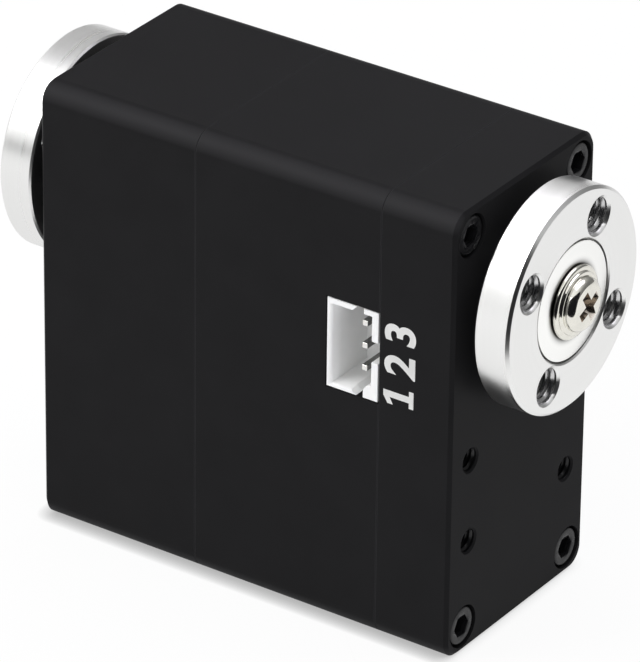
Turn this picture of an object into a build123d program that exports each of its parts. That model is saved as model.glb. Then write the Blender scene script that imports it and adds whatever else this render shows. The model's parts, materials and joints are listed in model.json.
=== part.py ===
# Serial bus servo: a black three part case, a driven horn in front, an idler horn behind,
# a brushed motor, a four stage spur gear train and a control board.
# Millimetres. X across the case, -Y the front with the driven horn, +Z up the long side.
# The origin is the centre of the lower end face of the case.

import os
from math import acos, cos, pi, radians, sin, tan

from build123d import *

# Case
case_width = 20.0
case_height = 40.0
case_depth = 40.0
corner_radius = 1.8
face_edge_chamfer = 0.3
seam_edge_chamfer = 0.06
front_cover_depth = 6.9
rear_cover_depth = 15.33
wall = 1.6
inner_corner_radius = 0.8
front_wall = 4.4
rear_wall = 2.4
bearing_wall = 3.8

# Corner screws, M2 with a socket head
screw_inset = 2.35
screw_radius = 1.0
screw_end_cover = 6.98
screw_head_radius = 1.65
screw_head_height = 1.9
screw_head_sink = 0.12
screw_head_chamfer = 0.2
hex_across_flats = 1.5
hex_depth = 1.0
counterbore_radius = 1.85
screw_boss_radius = 2.6

# Front mounting holes, M2
mount_hole_radius = 1.0
mount_hole_mouth_chamfer = 0.15
mount_hole_depth = 3.6
mount_hole_inset = 2.9
mount_hole_low = 10.0
mount_hole_rise = 7.4

# Output axis and horns
output_height_share = 0.75
horn_radius = 9.45
horn_thickness = 3.16
horn_edge_chamfer = 0.25
horn_turn = 28.5
horn_hole_circle = 14.0
horn_hole_count = 4
horn_hole_radius = 1.5
horn_hole_chamfer = 0.15
horn_gap = 1.5
horn_recess_radius = 5.15
horn_recess_depth = 1.2
horn_hub_radius = 4.2
horn_recess_chamfer = 0.12
washer_radius = 5.05
washer_thickness = 1.1
washer_edge_chamfer = 0.1
rear_horn_gap = 1.5

# Centre screws, M3 with a collar
horn_screw_radius = 1.5
horn_screw_length = 8.0
horn_screw_collar_radius = 3.2
horn_screw_collar = 0.75
horn_screw_head_radius = 2.3
horn_screw_head = 0.9
horn_screw_dome = 0.7
cross_width = 0.62
cross_length = 2.6
cross_depth = 1.0
rear_washer_radius = 3.9
rear_washer_thickness = 0.5
rear_screw_length = 4.6
rear_screw_hole_depth = 4.3

# Output shaft
shaft_radius = 3.0
shaft_collar_radius = 4.0
shaft_collar_stand_out = 0.3
spline_teeth = 25
spline_tip_radius = 2.95
spline_root_radius = 2.72
spline_end_gap = 0.1
shaft_thread_depth = 9.0
shaft_rear_bore_depth = 3.4

# Ball bearings
front_bearing_radius = 6.0
front_bearing_width = 3.0
centre_bearing_radius = 5.0
centre_bearing_width = 3.0
rear_bearing_radius = 5.0
rear_bearing_width = 2.5
bearing_ring_wall = 0.75
bearing_shield = 0.25
lip_clearance = 0.35

# Gear train, from the motor to the output. Its teeth and the motor are scaled to the room in the case.
wheel_side_gap = 0.56
motor_low_gap = 2.4
pressure_angle = radians(20.0)
profile_shift = 0.4
backlash_gap = 0.06
root_clearance_share = 0.25
flank_points = 3
fine_tooth_size = 0.4
coarse_tooth_size = 0.5
first_pinion_teeth = 10
first_wheel_teeth = 38
second_pinion_teeth = 12
second_wheel_teeth = 38
third_pinion_teeth = 10
third_wheel_teeth = 30
fourth_pinion_teeth = 11
output_wheel_teeth = 29
first_face_width = 2.0
second_face_width = 2.4
third_face_width = 3.0
fourth_face_width = 4.0
layer_gap = 0.35
end_float = 0.12
second_hub_radius = 1.7
axle_radius = 1.0
axle_seat_depth = 1.0

# Motor
motor_full_radius = 8.0
motor_can_wall = 0.7
motor_shaft_radius = 1.0
motor_end_cap_depth = 1.4
motor_front_gap = 0.5
motor_seat_wall = 1.77
motor_boss_radius = 2.5
motor_boss_height = 1.0
motor_screw_radius = 0.8
motor_screw_spacing = 10.0
motor_screw_head_radius = 1.4
motor_screw_head = 0.8
motor_screw_length = 2.4
magnet_thickness = 1.7
magnet_split = 3.0
magnet_front_gap = 2.5
magnet_back_gap = 1.2
air_gap = 0.3
armature_slots = 3
armature_slot_width = 1.1
armature_core_radius = 2.4
armature_back_gap = 1.8
commutator_radius = 2.0
commutator_length = 1.6
commutator_front_gap = 1.3
terminal_width = 1.6
terminal_height = 1.0
terminal_length = 1.6
terminal_rise = 3.6
lead_radius = 0.45
lead_bend_radius = 2.5
lead_side_gap = 0.3
lead_slot_margin = 0.8
lead_low_gap = 0.85
end_cap_step = 0.3

# Board and sockets
board_thickness = 1.2
board_edge_gap = 0.3
ledge = 0.8
board_hole_clearance = 0.8
board_corner_radius = 2.9
space_low_to_motor = 1.1
socket_height = 7.98
socket_breadth = 4.95
socket_shaft_gap = 0.95
socket_front_gap = 0.15
socket_sink = 0.05
socket_wall = 0.62
socket_end_wall = 0.5
socket_floor = 1.2
socket_below_output = 4.4
socket_key_width = 1.85
socket_key_offset = 0.35
socket_key_end = 2.4
socket_foot = 1.4
socket_foot_height = 1.25
socket_foot_radius = 0.75
socket_notch = 0.6
socket_notch_flare = 0.5
socket_notch_end = 2.0
window_clearance = 0.1
pin_spacing = 2.0
pin_count = 3
pin_size = 0.5
pin_recess = 1.1
pin_from_front = 2.0
pin_tail = 0.5
ring_magnet_radius = 5.0
ring_magnet_share = 0.28
ring_magnet_gap = 0.6
encoder_size = 3.0
encoder_height = 0.8
controller_size = 4.0
driver_edge_gap = 0.5
driver_tail_gap = 0.35
chip_height = 0.8

# Fits
seat_clearance = 0.01
running_clearance = 0.02
screw_clearance = 0.1
bore_clearance = 0.1

# Places along the depth, worked out from the sizes above
bearing_bore_radius = shaft_radius + seat_clearance
front_y = -case_depth / 2
rear_y = case_depth / 2
front_seam_y = front_y + front_cover_depth
rear_seam_y = rear_y - rear_cover_depth
front_floor_y = front_y + front_wall
rear_floor_y = rear_y - rear_wall
bearing_wall_y = rear_seam_y - bearing_wall
middle_depth = rear_seam_y - front_seam_y
mid_z = case_height / 2
output_z = case_height * output_height_share
output_axis = (0, output_z)
mount_hole_spacing = case_width - 2 * mount_hole_inset

# Gear centres, worked out from the teeth. The widest wheel fits between the side walls, and the
# output, the wheels and the motor fit above one another.
full_wheel_radius = fine_tooth_size * (first_wheel_teeth / 2 + 1 - profile_shift)
full_gear_distance = coarse_tooth_size * (fourth_pinion_teeth + output_wheel_teeth) / 2
full_motor_distance = fine_tooth_size * (first_pinion_teeth + first_wheel_teeth) / 2
width_scale = (case_width / 2 - wall - wheel_side_gap) / full_wheel_radius
height_scale = (output_z - motor_low_gap) / (full_gear_distance + full_motor_distance + motor_full_radius)
train_scale = min(width_scale, height_scale)
fine_module = fine_tooth_size * train_scale
coarse_module = coarse_tooth_size * train_scale
motor_radius = motor_full_radius * train_scale
axle_z = output_z - full_gear_distance * train_scale
motor_z = axle_z - full_motor_distance * train_scale
gear_axle = (0, axle_z)
motor_axis = (0, motor_z)

# Gear layers, front to back
fourth_front_y = rear_seam_y + layer_gap
fourth_back_y = fourth_front_y + fourth_face_width
third_front_y = fourth_back_y + layer_gap
third_back_y = third_front_y + third_face_width
second_front_y = third_back_y + layer_gap
second_back_y = second_front_y + second_face_width
first_front_y = second_back_y + layer_gap
first_back_y = first_front_y + first_face_width

# Front horn stack
horn_back_y = front_y - horn_gap
horn_front_y = horn_back_y - horn_thickness
horn_recess_y = horn_front_y + horn_recess_depth
washer_front_y = horn_recess_y - washer_thickness
front_bearing_y = front_floor_y - front_bearing_width
hub_end_y = front_y - shaft_collar_stand_out
shaft_end_y = horn_recess_y + spline_end_gap

# Rear horn stack
rear_horn_front_y = rear_y + rear_horn_gap
rear_bearing_back_y = rear_horn_front_y + rear_bearing_width
rear_horn_back_y = rear_horn_front_y + horn_thickness
rear_washer_back_y = rear_bearing_back_y + rear_washer_thickness

# Board and motor
socket_front_y = front_seam_y + socket_front_gap
board_front_y = socket_front_y + socket_breadth
board_back_y = board_front_y + board_thickness
space_low_z = motor_z + motor_radius + bore_clearance + space_low_to_motor
space_high_z = case_height - wall
motor_back_y = rear_seam_y - motor_seat_wall
motor_front_y = front_seam_y - motor_front_gap
motor_can_front_y = motor_front_y + motor_end_cap_depth
motor_inner_front_y = motor_can_front_y + motor_can_wall
motor_inner_back_y = motor_back_y - motor_can_wall
magnet_front_y = motor_inner_front_y + magnet_front_gap
magnet_back_y = motor_inner_back_y - magnet_back_gap
commutator_front_y = motor_inner_front_y + commutator_front_gap
armature_front_y = commutator_front_y + commutator_length
armature_back_y = motor_inner_back_y - armature_back_gap
armature_radius = motor_radius - motor_can_wall - magnet_thickness - air_gap
ring_magnet_y = board_back_y + ring_magnet_gap
ring_magnet_length = (bearing_wall_y - ring_magnet_y) * ring_magnet_share

# Sockets
socket_centre_z = output_z - socket_below_output
socket_low_z = socket_centre_z - socket_height / 2
socket_high_z = socket_centre_z + socket_height / 2
socket_mouth_x = -case_width / 2 + socket_sink
socket_floor_x = -shaft_radius - socket_shaft_gap
socket_depth = socket_floor_x - socket_mouth_x
socket_middle_y = socket_front_y + socket_breadth / 2
pin_tip_x = socket_mouth_x + pin_recess
pin_tail_x = socket_floor_x - socket_floor / 2
pin_y = socket_front_y + pin_from_front

# Leads and chips, beside and below the sockets
terminal_spacing = 2 * (-socket_floor_x - lead_side_gap - lead_radius)
lead_y = motor_front_y - terminal_length / 2
lead_z = space_low_z + lead_low_gap + lead_radius
lowest_pin_z = socket_centre_z - (pin_spacing * (pin_count - 1) + pin_size) / 2
driver_size = lowest_pin_z - driver_tail_gap - driver_edge_gap - space_low_z
driver_x = case_width / 2 - wall - ledge - driver_edge_gap - driver_size / 2
driver_z = space_low_z + driver_edge_gap + driver_size / 2

# Screws
screw_seat_y = front_y + screw_head_sink + screw_head_height
screw_tip_y = rear_y - screw_end_cover

screw_places = [
    (side * (case_width / 2 - screw_inset), height)
    for side in (-1, 1)
    for height in (screw_inset, case_height - screw_inset)
]
horn_hole_places = [
    (
        horn_hole_circle / 2 * sin(radians(horn_turn) + 2 * pi * turn / horn_hole_count),
        output_z + horn_hole_circle / 2 * cos(radians(horn_turn) + 2 * pi * turn / horn_hole_count),
    )
    for turn in range(horn_hole_count)
]
motor_screw_places = [(side * motor_screw_spacing / 2, motor_z) for side in (-1, 1)]
terminal_xs = [side * terminal_spacing / 2 for side in (-1, 1)]
pin_places = [
    (pin_y, socket_centre_z + pin_spacing * (place - (pin_count - 1) / 2))
    for place in range(pin_count)
]
pin_tail_places = [(side * -pin_tail_x, z) for side in (-1, 1) for y, z in pin_places]


# Helpers


def at_depth(y):
    """A sketch plane across the case at a place along Y. It faces the front, with Z as its second axis."""
    return Plane.XZ.offset(-y)


def case_outline():
    """The rounded outline of the case, drawn in the sketch that is open."""
    with Locations((0, mid_z)):
        RectangleRounded(case_width, case_height, corner_radius)


def inner_outline(low, high, margin):
    """A space inside the walls, less the screw bosses in its corners, drawn in the sketch that is open."""
    with Locations((0, (low + high) / 2)):
        RectangleRounded(case_width - 2 * margin, high - low, inner_corner_radius)
    with Locations(*screw_places):
        Circle(screw_boss_radius, mode=Mode.SUBTRACT)


def turned(centre, steps, bores=()):
    """A turned piece from steps and bores of (front, back, radius) about one axis along Y."""
    with BuildPart() as piece:
        for front, back, radius in steps:
            with BuildSketch(at_depth(back)):
                with Locations(centre):
                    Circle(radius)
            extrude(amount=back - front)
        for front, back, radius in bores:
            with BuildSketch(at_depth(back)):
                with Locations(centre):
                    Circle(radius)
            extrude(amount=back - front, mode=Mode.SUBTRACT)
    return piece


def tooth_outline(teeth, module, shift, first_tooth_angle):
    """The closed outline of an involute spur gear about the origin, its first tooth at the given angle."""
    pitch_radius = module * teeth / 2
    base_radius = pitch_radius * cos(pressure_angle)
    tip_radius = pitch_radius + module * (1 + shift)
    root_radius = pitch_radius - module * (1 + root_clearance_share - shift)
    pitch_half_angle = (pi / 2 + 2 * shift * tan(pressure_angle)) / teeth - backlash_gap / (4 * pitch_radius)

    def half_angle(radius):
        angle = acos(min(1.0, base_radius / radius))
        return pitch_half_angle + tan(pressure_angle) - pressure_angle - tan(angle) + angle

    start_radius = max(base_radius, root_radius)
    flank_step = (tip_radius - start_radius) / (flank_points - 1)
    flank = [(start_radius + flank_step * step, half_angle(start_radius + flank_step * step))
             for step in range(flank_points)]
    if root_radius < base_radius:
        flank.insert(0, (root_radius, half_angle(start_radius)))
    outline = []
    for tooth in range(teeth):
        middle = first_tooth_angle + 2 * pi * tooth / teeth
        outline += [(r * cos(middle - a), r * sin(middle - a)) for r, a in flank]
        outline += [(r * cos(middle + a), r * sin(middle + a)) for r, a in reversed(flank)]
    return outline


def pinion_outline(teeth, module, facing):
    """A small gear with a tooth towards its wheel, at the angle facing."""
    return tooth_outline(teeth, module, profile_shift, facing)


def wheel_outline(teeth, module, facing):
    """A large gear with a space towards its pinion, at the angle facing."""
    return tooth_outline(teeth, module, -profile_shift, facing + pi / teeth)


def spline_outline(growth):
    """The ring of straight teeth on the shaft's front end, grown outwards for the horn's bore."""
    outline = []
    for tooth in range(spline_teeth):
        for share, radius in ((-0.3, spline_root_radius), (-0.1, spline_tip_radius),
                              (0.1, spline_tip_radius), (0.3, spline_root_radius)):
            angle = 2 * pi * (tooth + share) / spline_teeth
            outline.append(((radius + growth) * cos(angle), (radius + growth) * sin(angle)))
    return outline


def compound_gear(centre, wheel, wheel_span, pinion, pinion_span, bore_radius, hub_radius=0, hub_back=0):
    """A wheel and a pinion in one piece on a plain bore, with a hub behind where one is asked for.
    Each span is (front, back)."""
    with BuildPart() as piece:
        for outline, (front, back) in ((wheel, wheel_span), (pinion, pinion_span)):
            with BuildSketch(at_depth(back)):
                with Locations(centre):
                    Polygon(*outline, align=None)
            extrude(amount=back - front)
        front = min(wheel_span[0], pinion_span[0])
        back = max(wheel_span[1], pinion_span[1])
        if hub_radius:
            with BuildSketch(at_depth(hub_back)):
                with Locations(centre):
                    Circle(hub_radius)
            extrude(amount=hub_back - back)
            back = hub_back
        with BuildSketch(at_depth(back)):
            with Locations(centre):
                Circle(bore_radius)
        extrude(amount=back - front, mode=Mode.SUBTRACT)
    return piece


def bearing_outer(centre, front, width, radius):
    """The outer ring of a bearing, with its two shields."""
    shield_bore = bearing_bore_radius + bearing_ring_wall + running_clearance
    return turned(
        centre,
        [(front, front + width, radius)],
        [(front, front + width, shield_bore),
         (front + bearing_shield, front + width - bearing_shield, radius - bearing_ring_wall)],
    )


def bearing_inner(centre, front, width):
    """The inner ring of a bearing."""
    return turned(
        centre,
        [(front, front + width, bearing_bore_radius + bearing_ring_wall)],
        [(front, front + width, bearing_bore_radius)],
    )


def horn_disc(front, back, face_y):
    """A horn's disc between front and back with chamfered rims and its ring of holes."""
    with BuildPart() as piece:
        with BuildSketch(at_depth(back)):
            with Locations(output_axis):
                Circle(horn_radius)
        extrude(amount=back - front)
        chamfer(piece.edges().filter_by(GeomType.CIRCLE), horn_edge_chamfer)
        with BuildSketch(at_depth(back)):
            with Locations(*horn_hole_places):
                Circle(horn_hole_radius)
        extrude(amount=back - front, mode=Mode.SUBTRACT)
        hole_edges = piece.edges().filter_by(GeomType.CIRCLE).filter_by(
            lambda edge: abs(edge.radius - horn_hole_radius) < horn_hole_chamfer
            and abs(edge.center().Y - face_y) < horn_edge_chamfer)
        chamfer(hole_edges, horn_hole_chamfer)
    return piece


def collar_screw(seat_y, tip_y, thread_radius):
    """A pan head screw with a collar. The head points away from tip_y."""
    outwards = 1 if seat_y > tip_y else -1
    collar_y = seat_y + outwards * horn_screw_collar
    head_y = collar_y + outwards * horn_screw_head
    dome_start_y = head_y - outwards * horn_screw_dome
    with BuildPart() as piece:
        with BuildSketch(Plane.YZ):
            with BuildLine():
                Polyline((tip_y, output_z), (tip_y, output_z + thread_radius),
                         (seat_y, output_z + thread_radius), (seat_y, output_z + horn_screw_collar_radius),
                         (collar_y, output_z + horn_screw_collar_radius),
                         (collar_y, output_z + horn_screw_head_radius),
                         (dome_start_y, output_z + horn_screw_head_radius))
                ThreePointArc((dome_start_y, output_z + horn_screw_head_radius),
                              (head_y - outwards * horn_screw_dome / 4,
                               output_z + horn_screw_head_radius / 2),
                              (head_y, output_z))
                Line((head_y, output_z), (tip_y, output_z))
            make_face()
        revolve(axis=Axis((0, 0, output_z), (0, 1, 0)))
        with BuildSketch(at_depth(head_y)):
            with Locations(output_axis):
                Rectangle(cross_length, cross_width)
                Rectangle(cross_width, cross_length)
        extrude(amount=outwards * cross_depth, mode=Mode.SUBTRACT)
    return piece


# Case


with BuildPart() as front_cover:
    with BuildSketch(at_depth(front_seam_y)):
        case_outline()
    extrude(amount=front_cover_depth)
    chamfer(front_cover.faces().sort_by(Axis.Y)[0].edges(), face_edge_chamfer)
    chamfer(front_cover.faces().sort_by(Axis.Y)[-1].edges(), seam_edge_chamfer)
    # Space behind the front wall for the motor's end, its leads and the board's parts
    lead_slot_width = terminal_spacing + 2 * lead_slot_margin
    with BuildSketch(at_depth(front_seam_y)):
        inner_outline(space_low_z, space_high_z, wall)
        with Locations(motor_axis):
            Circle(motor_radius + bore_clearance)
        with Locations((0, (motor_z + space_low_z) / 2)):
            Rectangle(lead_slot_width, space_low_z - motor_z + 2 * inner_corner_radius)
    extrude(amount=front_cover_depth - front_wall, mode=Mode.SUBTRACT)
    # Bearing seat from inside, and the opening for the shaft's collar
    with BuildSketch(at_depth(front_floor_y)):
        with Locations(output_axis):
            Circle(front_bearing_radius + seat_clearance)
    extrude(amount=front_bearing_width, mode=Mode.SUBTRACT)
    with BuildSketch(at_depth(front_floor_y)):
        with Locations(output_axis):
            Circle(shaft_collar_radius + lip_clearance)
    extrude(amount=front_wall, mode=Mode.SUBTRACT)
    # Corner screw holes with counterbores
    with BuildSketch(at_depth(front_seam_y)):
        with Locations(*screw_places):
            Circle(screw_radius + screw_clearance)
    extrude(amount=front_cover_depth, mode=Mode.SUBTRACT)
    with BuildSketch(at_depth(screw_seat_y)):
        with Locations(*screw_places):
            Circle(counterbore_radius)
    extrude(amount=screw_seat_y - front_y, mode=Mode.SUBTRACT)
    # Mounting holes, blind, with small mouth chamfers
    with BuildSketch(at_depth(front_y + mount_hole_depth)):
        with Locations((0, mount_hole_low + mount_hole_rise / 2)):
            with GridLocations(mount_hole_spacing, mount_hole_rise, 2, 2):
                Circle(mount_hole_radius)
    extrude(amount=mount_hole_depth, mode=Mode.SUBTRACT)
    mouths = front_cover.edges().filter_by(GeomType.CIRCLE).filter_by(
        lambda edge: abs(edge.radius - mount_hole_radius) < seat_clearance
        and abs(edge.center().Y - front_y) < seat_clearance)
    chamfer(mouths, mount_hole_mouth_chamfer)

with BuildPart() as middle_case:
    with BuildSketch(at_depth(rear_seam_y)):
        case_outline()
    extrude(amount=middle_depth)
    chamfer(middle_case.faces().sort_by(Axis.Y)[0].edges(), seam_edge_chamfer)
    chamfer(middle_case.faces().sort_by(Axis.Y)[-1].edges(), seam_edge_chamfer)
    # Board space, with a ledge behind the board
    with BuildSketch(at_depth(board_back_y)):
        inner_outline(space_low_z, space_high_z, wall)
    extrude(amount=board_back_y - front_seam_y, mode=Mode.SUBTRACT)
    with BuildSketch(at_depth(bearing_wall_y)):
        inner_outline(space_low_z, space_high_z - ledge, wall + ledge)
    extrude(amount=bearing_wall_y - board_back_y, mode=Mode.SUBTRACT)
    # Motor bore, with the hole for its boss and its two screws
    with BuildSketch(at_depth(motor_back_y)):
        with Locations(motor_axis):
            Circle(motor_radius + bore_clearance)
    extrude(amount=motor_back_y - front_seam_y, mode=Mode.SUBTRACT)
    with BuildSketch(at_depth(rear_seam_y)):
        with Locations(motor_axis):
            Circle(motor_boss_radius + bore_clearance)
        with Locations(*motor_screw_places):
            Circle(motor_screw_radius + screw_clearance)
    extrude(amount=motor_seat_wall, mode=Mode.SUBTRACT)
    # Bearing seat from the gear side, and the opening in front of it
    with BuildSketch(at_depth(rear_seam_y)):
        with Locations(output_axis):
            Circle(centre_bearing_radius + seat_clearance)
    extrude(amount=centre_bearing_width, mode=Mode.SUBTRACT)
    with BuildSketch(at_depth(rear_seam_y)):
        with Locations(output_axis):
            Circle(bearing_bore_radius + bearing_ring_wall + lip_clearance)
    extrude(amount=bearing_wall, mode=Mode.SUBTRACT)
    # Seat of the gear axle
    with BuildSketch(at_depth(rear_seam_y)):
        with Locations(gear_axle):
            Circle(axle_radius + seat_clearance)
    extrude(amount=axle_seat_depth, mode=Mode.SUBTRACT)
    # Corner screw holes
    with BuildSketch(at_depth(rear_seam_y)):
        with Locations(*screw_places):
            Circle(screw_radius + screw_clearance)
    extrude(amount=middle_depth, mode=Mode.SUBTRACT)
    # Socket windows in both sides, open to the front seam
    with BuildSketch(at_depth(board_front_y)):
        with Locations((0, socket_centre_z)):
            Rectangle(case_width, socket_height + 2 * window_clearance)
    extrude(amount=board_front_y - front_seam_y, mode=Mode.SUBTRACT)

with BuildPart() as rear_cover:
    with BuildSketch(at_depth(rear_y)):
        case_outline()
    extrude(amount=rear_cover_depth)
    chamfer(rear_cover.faces().sort_by(Axis.Y)[-1].edges(), face_edge_chamfer)
    chamfer(rear_cover.faces().sort_by(Axis.Y)[0].edges(), seam_edge_chamfer)
    # Gear space
    with BuildSketch(at_depth(rear_floor_y)):
        inner_outline(wall, case_height - wall, wall)
    extrude(amount=rear_floor_y - rear_seam_y, mode=Mode.SUBTRACT)
    # Boss of the idler horn, with a shoulder for its bearing
    with BuildSketch(at_depth(rear_horn_front_y)):
        with Locations(output_axis):
            Circle(rear_washer_radius)
    extrude(amount=rear_horn_gap)
    with BuildSketch(at_depth(rear_bearing_back_y - end_float)):
        with Locations(output_axis):
            Circle(shaft_radius)
    extrude(amount=rear_bearing_width - end_float)
    with BuildSketch(at_depth(rear_bearing_back_y)):
        with Locations(output_axis):
            Circle(horn_screw_radius)
    extrude(amount=rear_screw_hole_depth, mode=Mode.SUBTRACT)
    # Seats of the two gear axles and of the motor shaft's end
    with BuildSketch(at_depth(rear_floor_y + axle_seat_depth)):
        with Locations(gear_axle, output_axis):
            Circle(axle_radius + seat_clearance)
        with Locations(motor_axis):
            Circle(motor_shaft_radius + running_clearance)
    extrude(amount=axle_seat_depth, mode=Mode.SUBTRACT)
    # Threaded holes of the corner screws
    with BuildSketch(at_depth(screw_tip_y + screw_clearance)):
        with Locations(*screw_places):
            Circle(screw_radius + seat_clearance)
    extrude(amount=screw_tip_y + screw_clearance - rear_seam_y, mode=Mode.SUBTRACT)

with BuildPart() as case_screws:
    with BuildSketch(at_depth(screw_seat_y)):
        with Locations(*screw_places):
            Circle(screw_head_radius)
    extrude(amount=screw_head_height)
    chamfer(case_screws.faces().group_by(Axis.Y)[0].edges(), screw_head_chamfer)
    with BuildSketch(at_depth(screw_tip_y)):
        with Locations(*screw_places):
            Circle(screw_radius)
    extrude(amount=screw_tip_y - screw_seat_y)
    with BuildSketch(at_depth(screw_seat_y - screw_head_height + hex_depth)):
        with Locations(*screw_places):
            RegularPolygon(hex_across_flats / 2, 6, major_radius=False)
    extrude(amount=hex_depth, mode=Mode.SUBTRACT)


# Output shaft, horn and their bearings


with BuildPart() as output_shaft:
    with BuildSketch(at_depth(fourth_back_y)):
        with Locations(output_axis):
            Circle(shaft_radius)
    extrude(amount=fourth_back_y - front_bearing_y)
    with BuildSketch(at_depth(front_bearing_y)):
        with Locations(output_axis):
            Circle(shaft_collar_radius)
    extrude(amount=front_bearing_y - hub_end_y)
    with BuildSketch(at_depth(hub_end_y)):
        with Locations(output_axis):
            Polygon(*spline_outline(0), align=None)
    extrude(amount=hub_end_y - shaft_end_y)
    with BuildSketch(at_depth(shaft_end_y + shaft_thread_depth)):
        with Locations(output_axis):
            Circle(horn_screw_radius)
    extrude(amount=shaft_thread_depth, mode=Mode.SUBTRACT)
    with BuildSketch(at_depth(fourth_back_y)):
        with Locations(output_axis):
            Circle(axle_radius + running_clearance)
    extrude(amount=shaft_rear_bore_depth, mode=Mode.SUBTRACT)

with BuildPart() as output_horn:
    add(horn_disc(horn_front_y, horn_back_y, horn_front_y).part)
    with BuildSketch(at_depth(hub_end_y)):
        with Locations(output_axis):
            Circle(horn_hub_radius)
    extrude(amount=hub_end_y - horn_back_y)
    with BuildSketch(at_depth(horn_recess_y)):
        with Locations(output_axis):
            Circle(horn_recess_radius)
    extrude(amount=horn_recess_depth, mode=Mode.SUBTRACT)
    recess_mouth = output_horn.edges().filter_by(GeomType.CIRCLE).filter_by(
        lambda edge: abs(edge.radius - horn_recess_radius) < seat_clearance
        and abs(edge.center().Y - horn_front_y) < seat_clearance)
    chamfer(recess_mouth, horn_recess_chamfer)
    with BuildSketch(at_depth(hub_end_y)):
        with Locations(output_axis):
            Polygon(*spline_outline(running_clearance), align=None)
    extrude(amount=hub_end_y - horn_recess_y, mode=Mode.SUBTRACT)

with BuildPart() as horn_washer:
    add(turned(output_axis, [(washer_front_y, horn_recess_y, washer_radius)],
               [(washer_front_y, horn_recess_y, horn_screw_radius + screw_clearance)]).part)
    chamfer(horn_washer.faces().sort_by(Axis.Y)[0].outer_wire().edges(), washer_edge_chamfer)

horn_screw = collar_screw(washer_front_y, washer_front_y + horn_screw_length,
                          horn_screw_radius - seat_clearance)

front_bearing_outer = bearing_outer(output_axis, front_bearing_y, front_bearing_width, front_bearing_radius)
front_bearing_inner = bearing_inner(output_axis, front_bearing_y, front_bearing_width)
centre_bearing_outer = bearing_outer(output_axis, rear_seam_y - centre_bearing_width,
                                     centre_bearing_width, centre_bearing_radius)
centre_bearing_inner = bearing_inner(output_axis, rear_seam_y - centre_bearing_width, centre_bearing_width)


# Rear idler horn


with BuildPart() as rear_horn:
    add(horn_disc(rear_horn_front_y, rear_horn_back_y, rear_horn_back_y).part)
    with BuildSketch(at_depth(rear_horn_back_y)):
        with Locations(output_axis):
            Circle(rear_bearing_radius + seat_clearance)
    extrude(amount=horn_thickness, mode=Mode.SUBTRACT)

rear_bearing_outer = bearing_outer(output_axis, rear_horn_front_y, rear_bearing_width, rear_bearing_radius)
rear_bearing_inner = bearing_inner(output_axis, rear_horn_front_y, rear_bearing_width)
rear_washer = turned(output_axis, [(rear_bearing_back_y, rear_washer_back_y, rear_washer_radius)],
                     [(rear_bearing_back_y, rear_washer_back_y, horn_screw_radius + screw_clearance)])
rear_screw = collar_screw(rear_washer_back_y, rear_washer_back_y - rear_screw_length,
                          horn_screw_radius - seat_clearance)


# Gear train


up = pi / 2
down = -pi / 2

with BuildPart() as output_gear:
    with BuildSketch(at_depth(fourth_back_y)):
        with Locations(output_axis):
            Polygon(*wheel_outline(output_wheel_teeth, coarse_module, down), align=None)
    extrude(amount=fourth_face_width)
    with BuildSketch(at_depth(fourth_front_y)):
        with Locations(output_axis):
            Circle(bearing_bore_radius + bearing_ring_wall - running_clearance)
    extrude(amount=layer_gap)
    with BuildSketch(at_depth(fourth_back_y)):
        with Locations(output_axis):
            Circle(shaft_radius + seat_clearance)
    extrude(amount=fourth_back_y - rear_seam_y, mode=Mode.SUBTRACT)

third_gear = compound_gear(
    gear_axle,
    wheel_outline(third_wheel_teeth, coarse_module, up), (third_front_y, third_back_y),
    pinion_outline(fourth_pinion_teeth, coarse_module, up), (fourth_front_y, third_front_y),
    axle_radius + running_clearance)
second_gear = compound_gear(
    output_axis,
    wheel_outline(second_wheel_teeth, fine_module, down), (second_front_y, second_back_y),
    pinion_outline(third_pinion_teeth, coarse_module, down), (third_front_y, second_front_y),
    axle_radius + running_clearance, second_hub_radius, rear_floor_y - end_float)
first_gear = compound_gear(
    gear_axle,
    wheel_outline(first_wheel_teeth, fine_module, down), (first_front_y, first_back_y),
    pinion_outline(second_pinion_teeth, fine_module, up), (second_front_y, first_front_y),
    axle_radius + running_clearance)

gear_axle_pin = turned(gear_axle, [(rear_seam_y - axle_seat_depth,
                                    rear_floor_y + axle_seat_depth, axle_radius)])
output_axle_pin = turned(output_axis, [(fourth_back_y - shaft_rear_bore_depth + end_float,
                                        rear_floor_y + axle_seat_depth, axle_radius)])


# Motor


with BuildPart() as motor_can:
    add(turned(motor_axis,
               [(motor_can_front_y, motor_back_y, motor_radius),
                (motor_back_y, motor_back_y + motor_boss_height, motor_boss_radius)],
               [(motor_can_front_y, motor_back_y - motor_can_wall, motor_radius - motor_can_wall),
                (motor_can_front_y, motor_back_y + motor_boss_height,
                 motor_shaft_radius + running_clearance)]).part)
    with BuildSketch(at_depth(motor_back_y)):
        with Locations(*motor_screw_places):
            Circle(motor_screw_radius + seat_clearance)
    extrude(amount=motor_can_wall, mode=Mode.SUBTRACT)

motor_end_cap = turned(
    motor_axis,
    [(motor_front_y, motor_can_front_y, motor_radius - end_cap_step),
     (motor_can_front_y, motor_can_front_y + motor_can_wall,
      motor_radius - motor_can_wall - seat_clearance)],
    [(motor_front_y, motor_can_front_y + motor_can_wall, motor_shaft_radius + running_clearance)])

with BuildPart() as motor_magnets:
    with BuildSketch(at_depth(magnet_back_y)):
        with Locations(motor_axis):
            Circle(motor_radius - motor_can_wall - seat_clearance)
            Circle(motor_radius - motor_can_wall - magnet_thickness, mode=Mode.SUBTRACT)
            Rectangle(2 * motor_radius, magnet_split, mode=Mode.SUBTRACT)
    extrude(amount=magnet_back_y - magnet_front_y)

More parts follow.
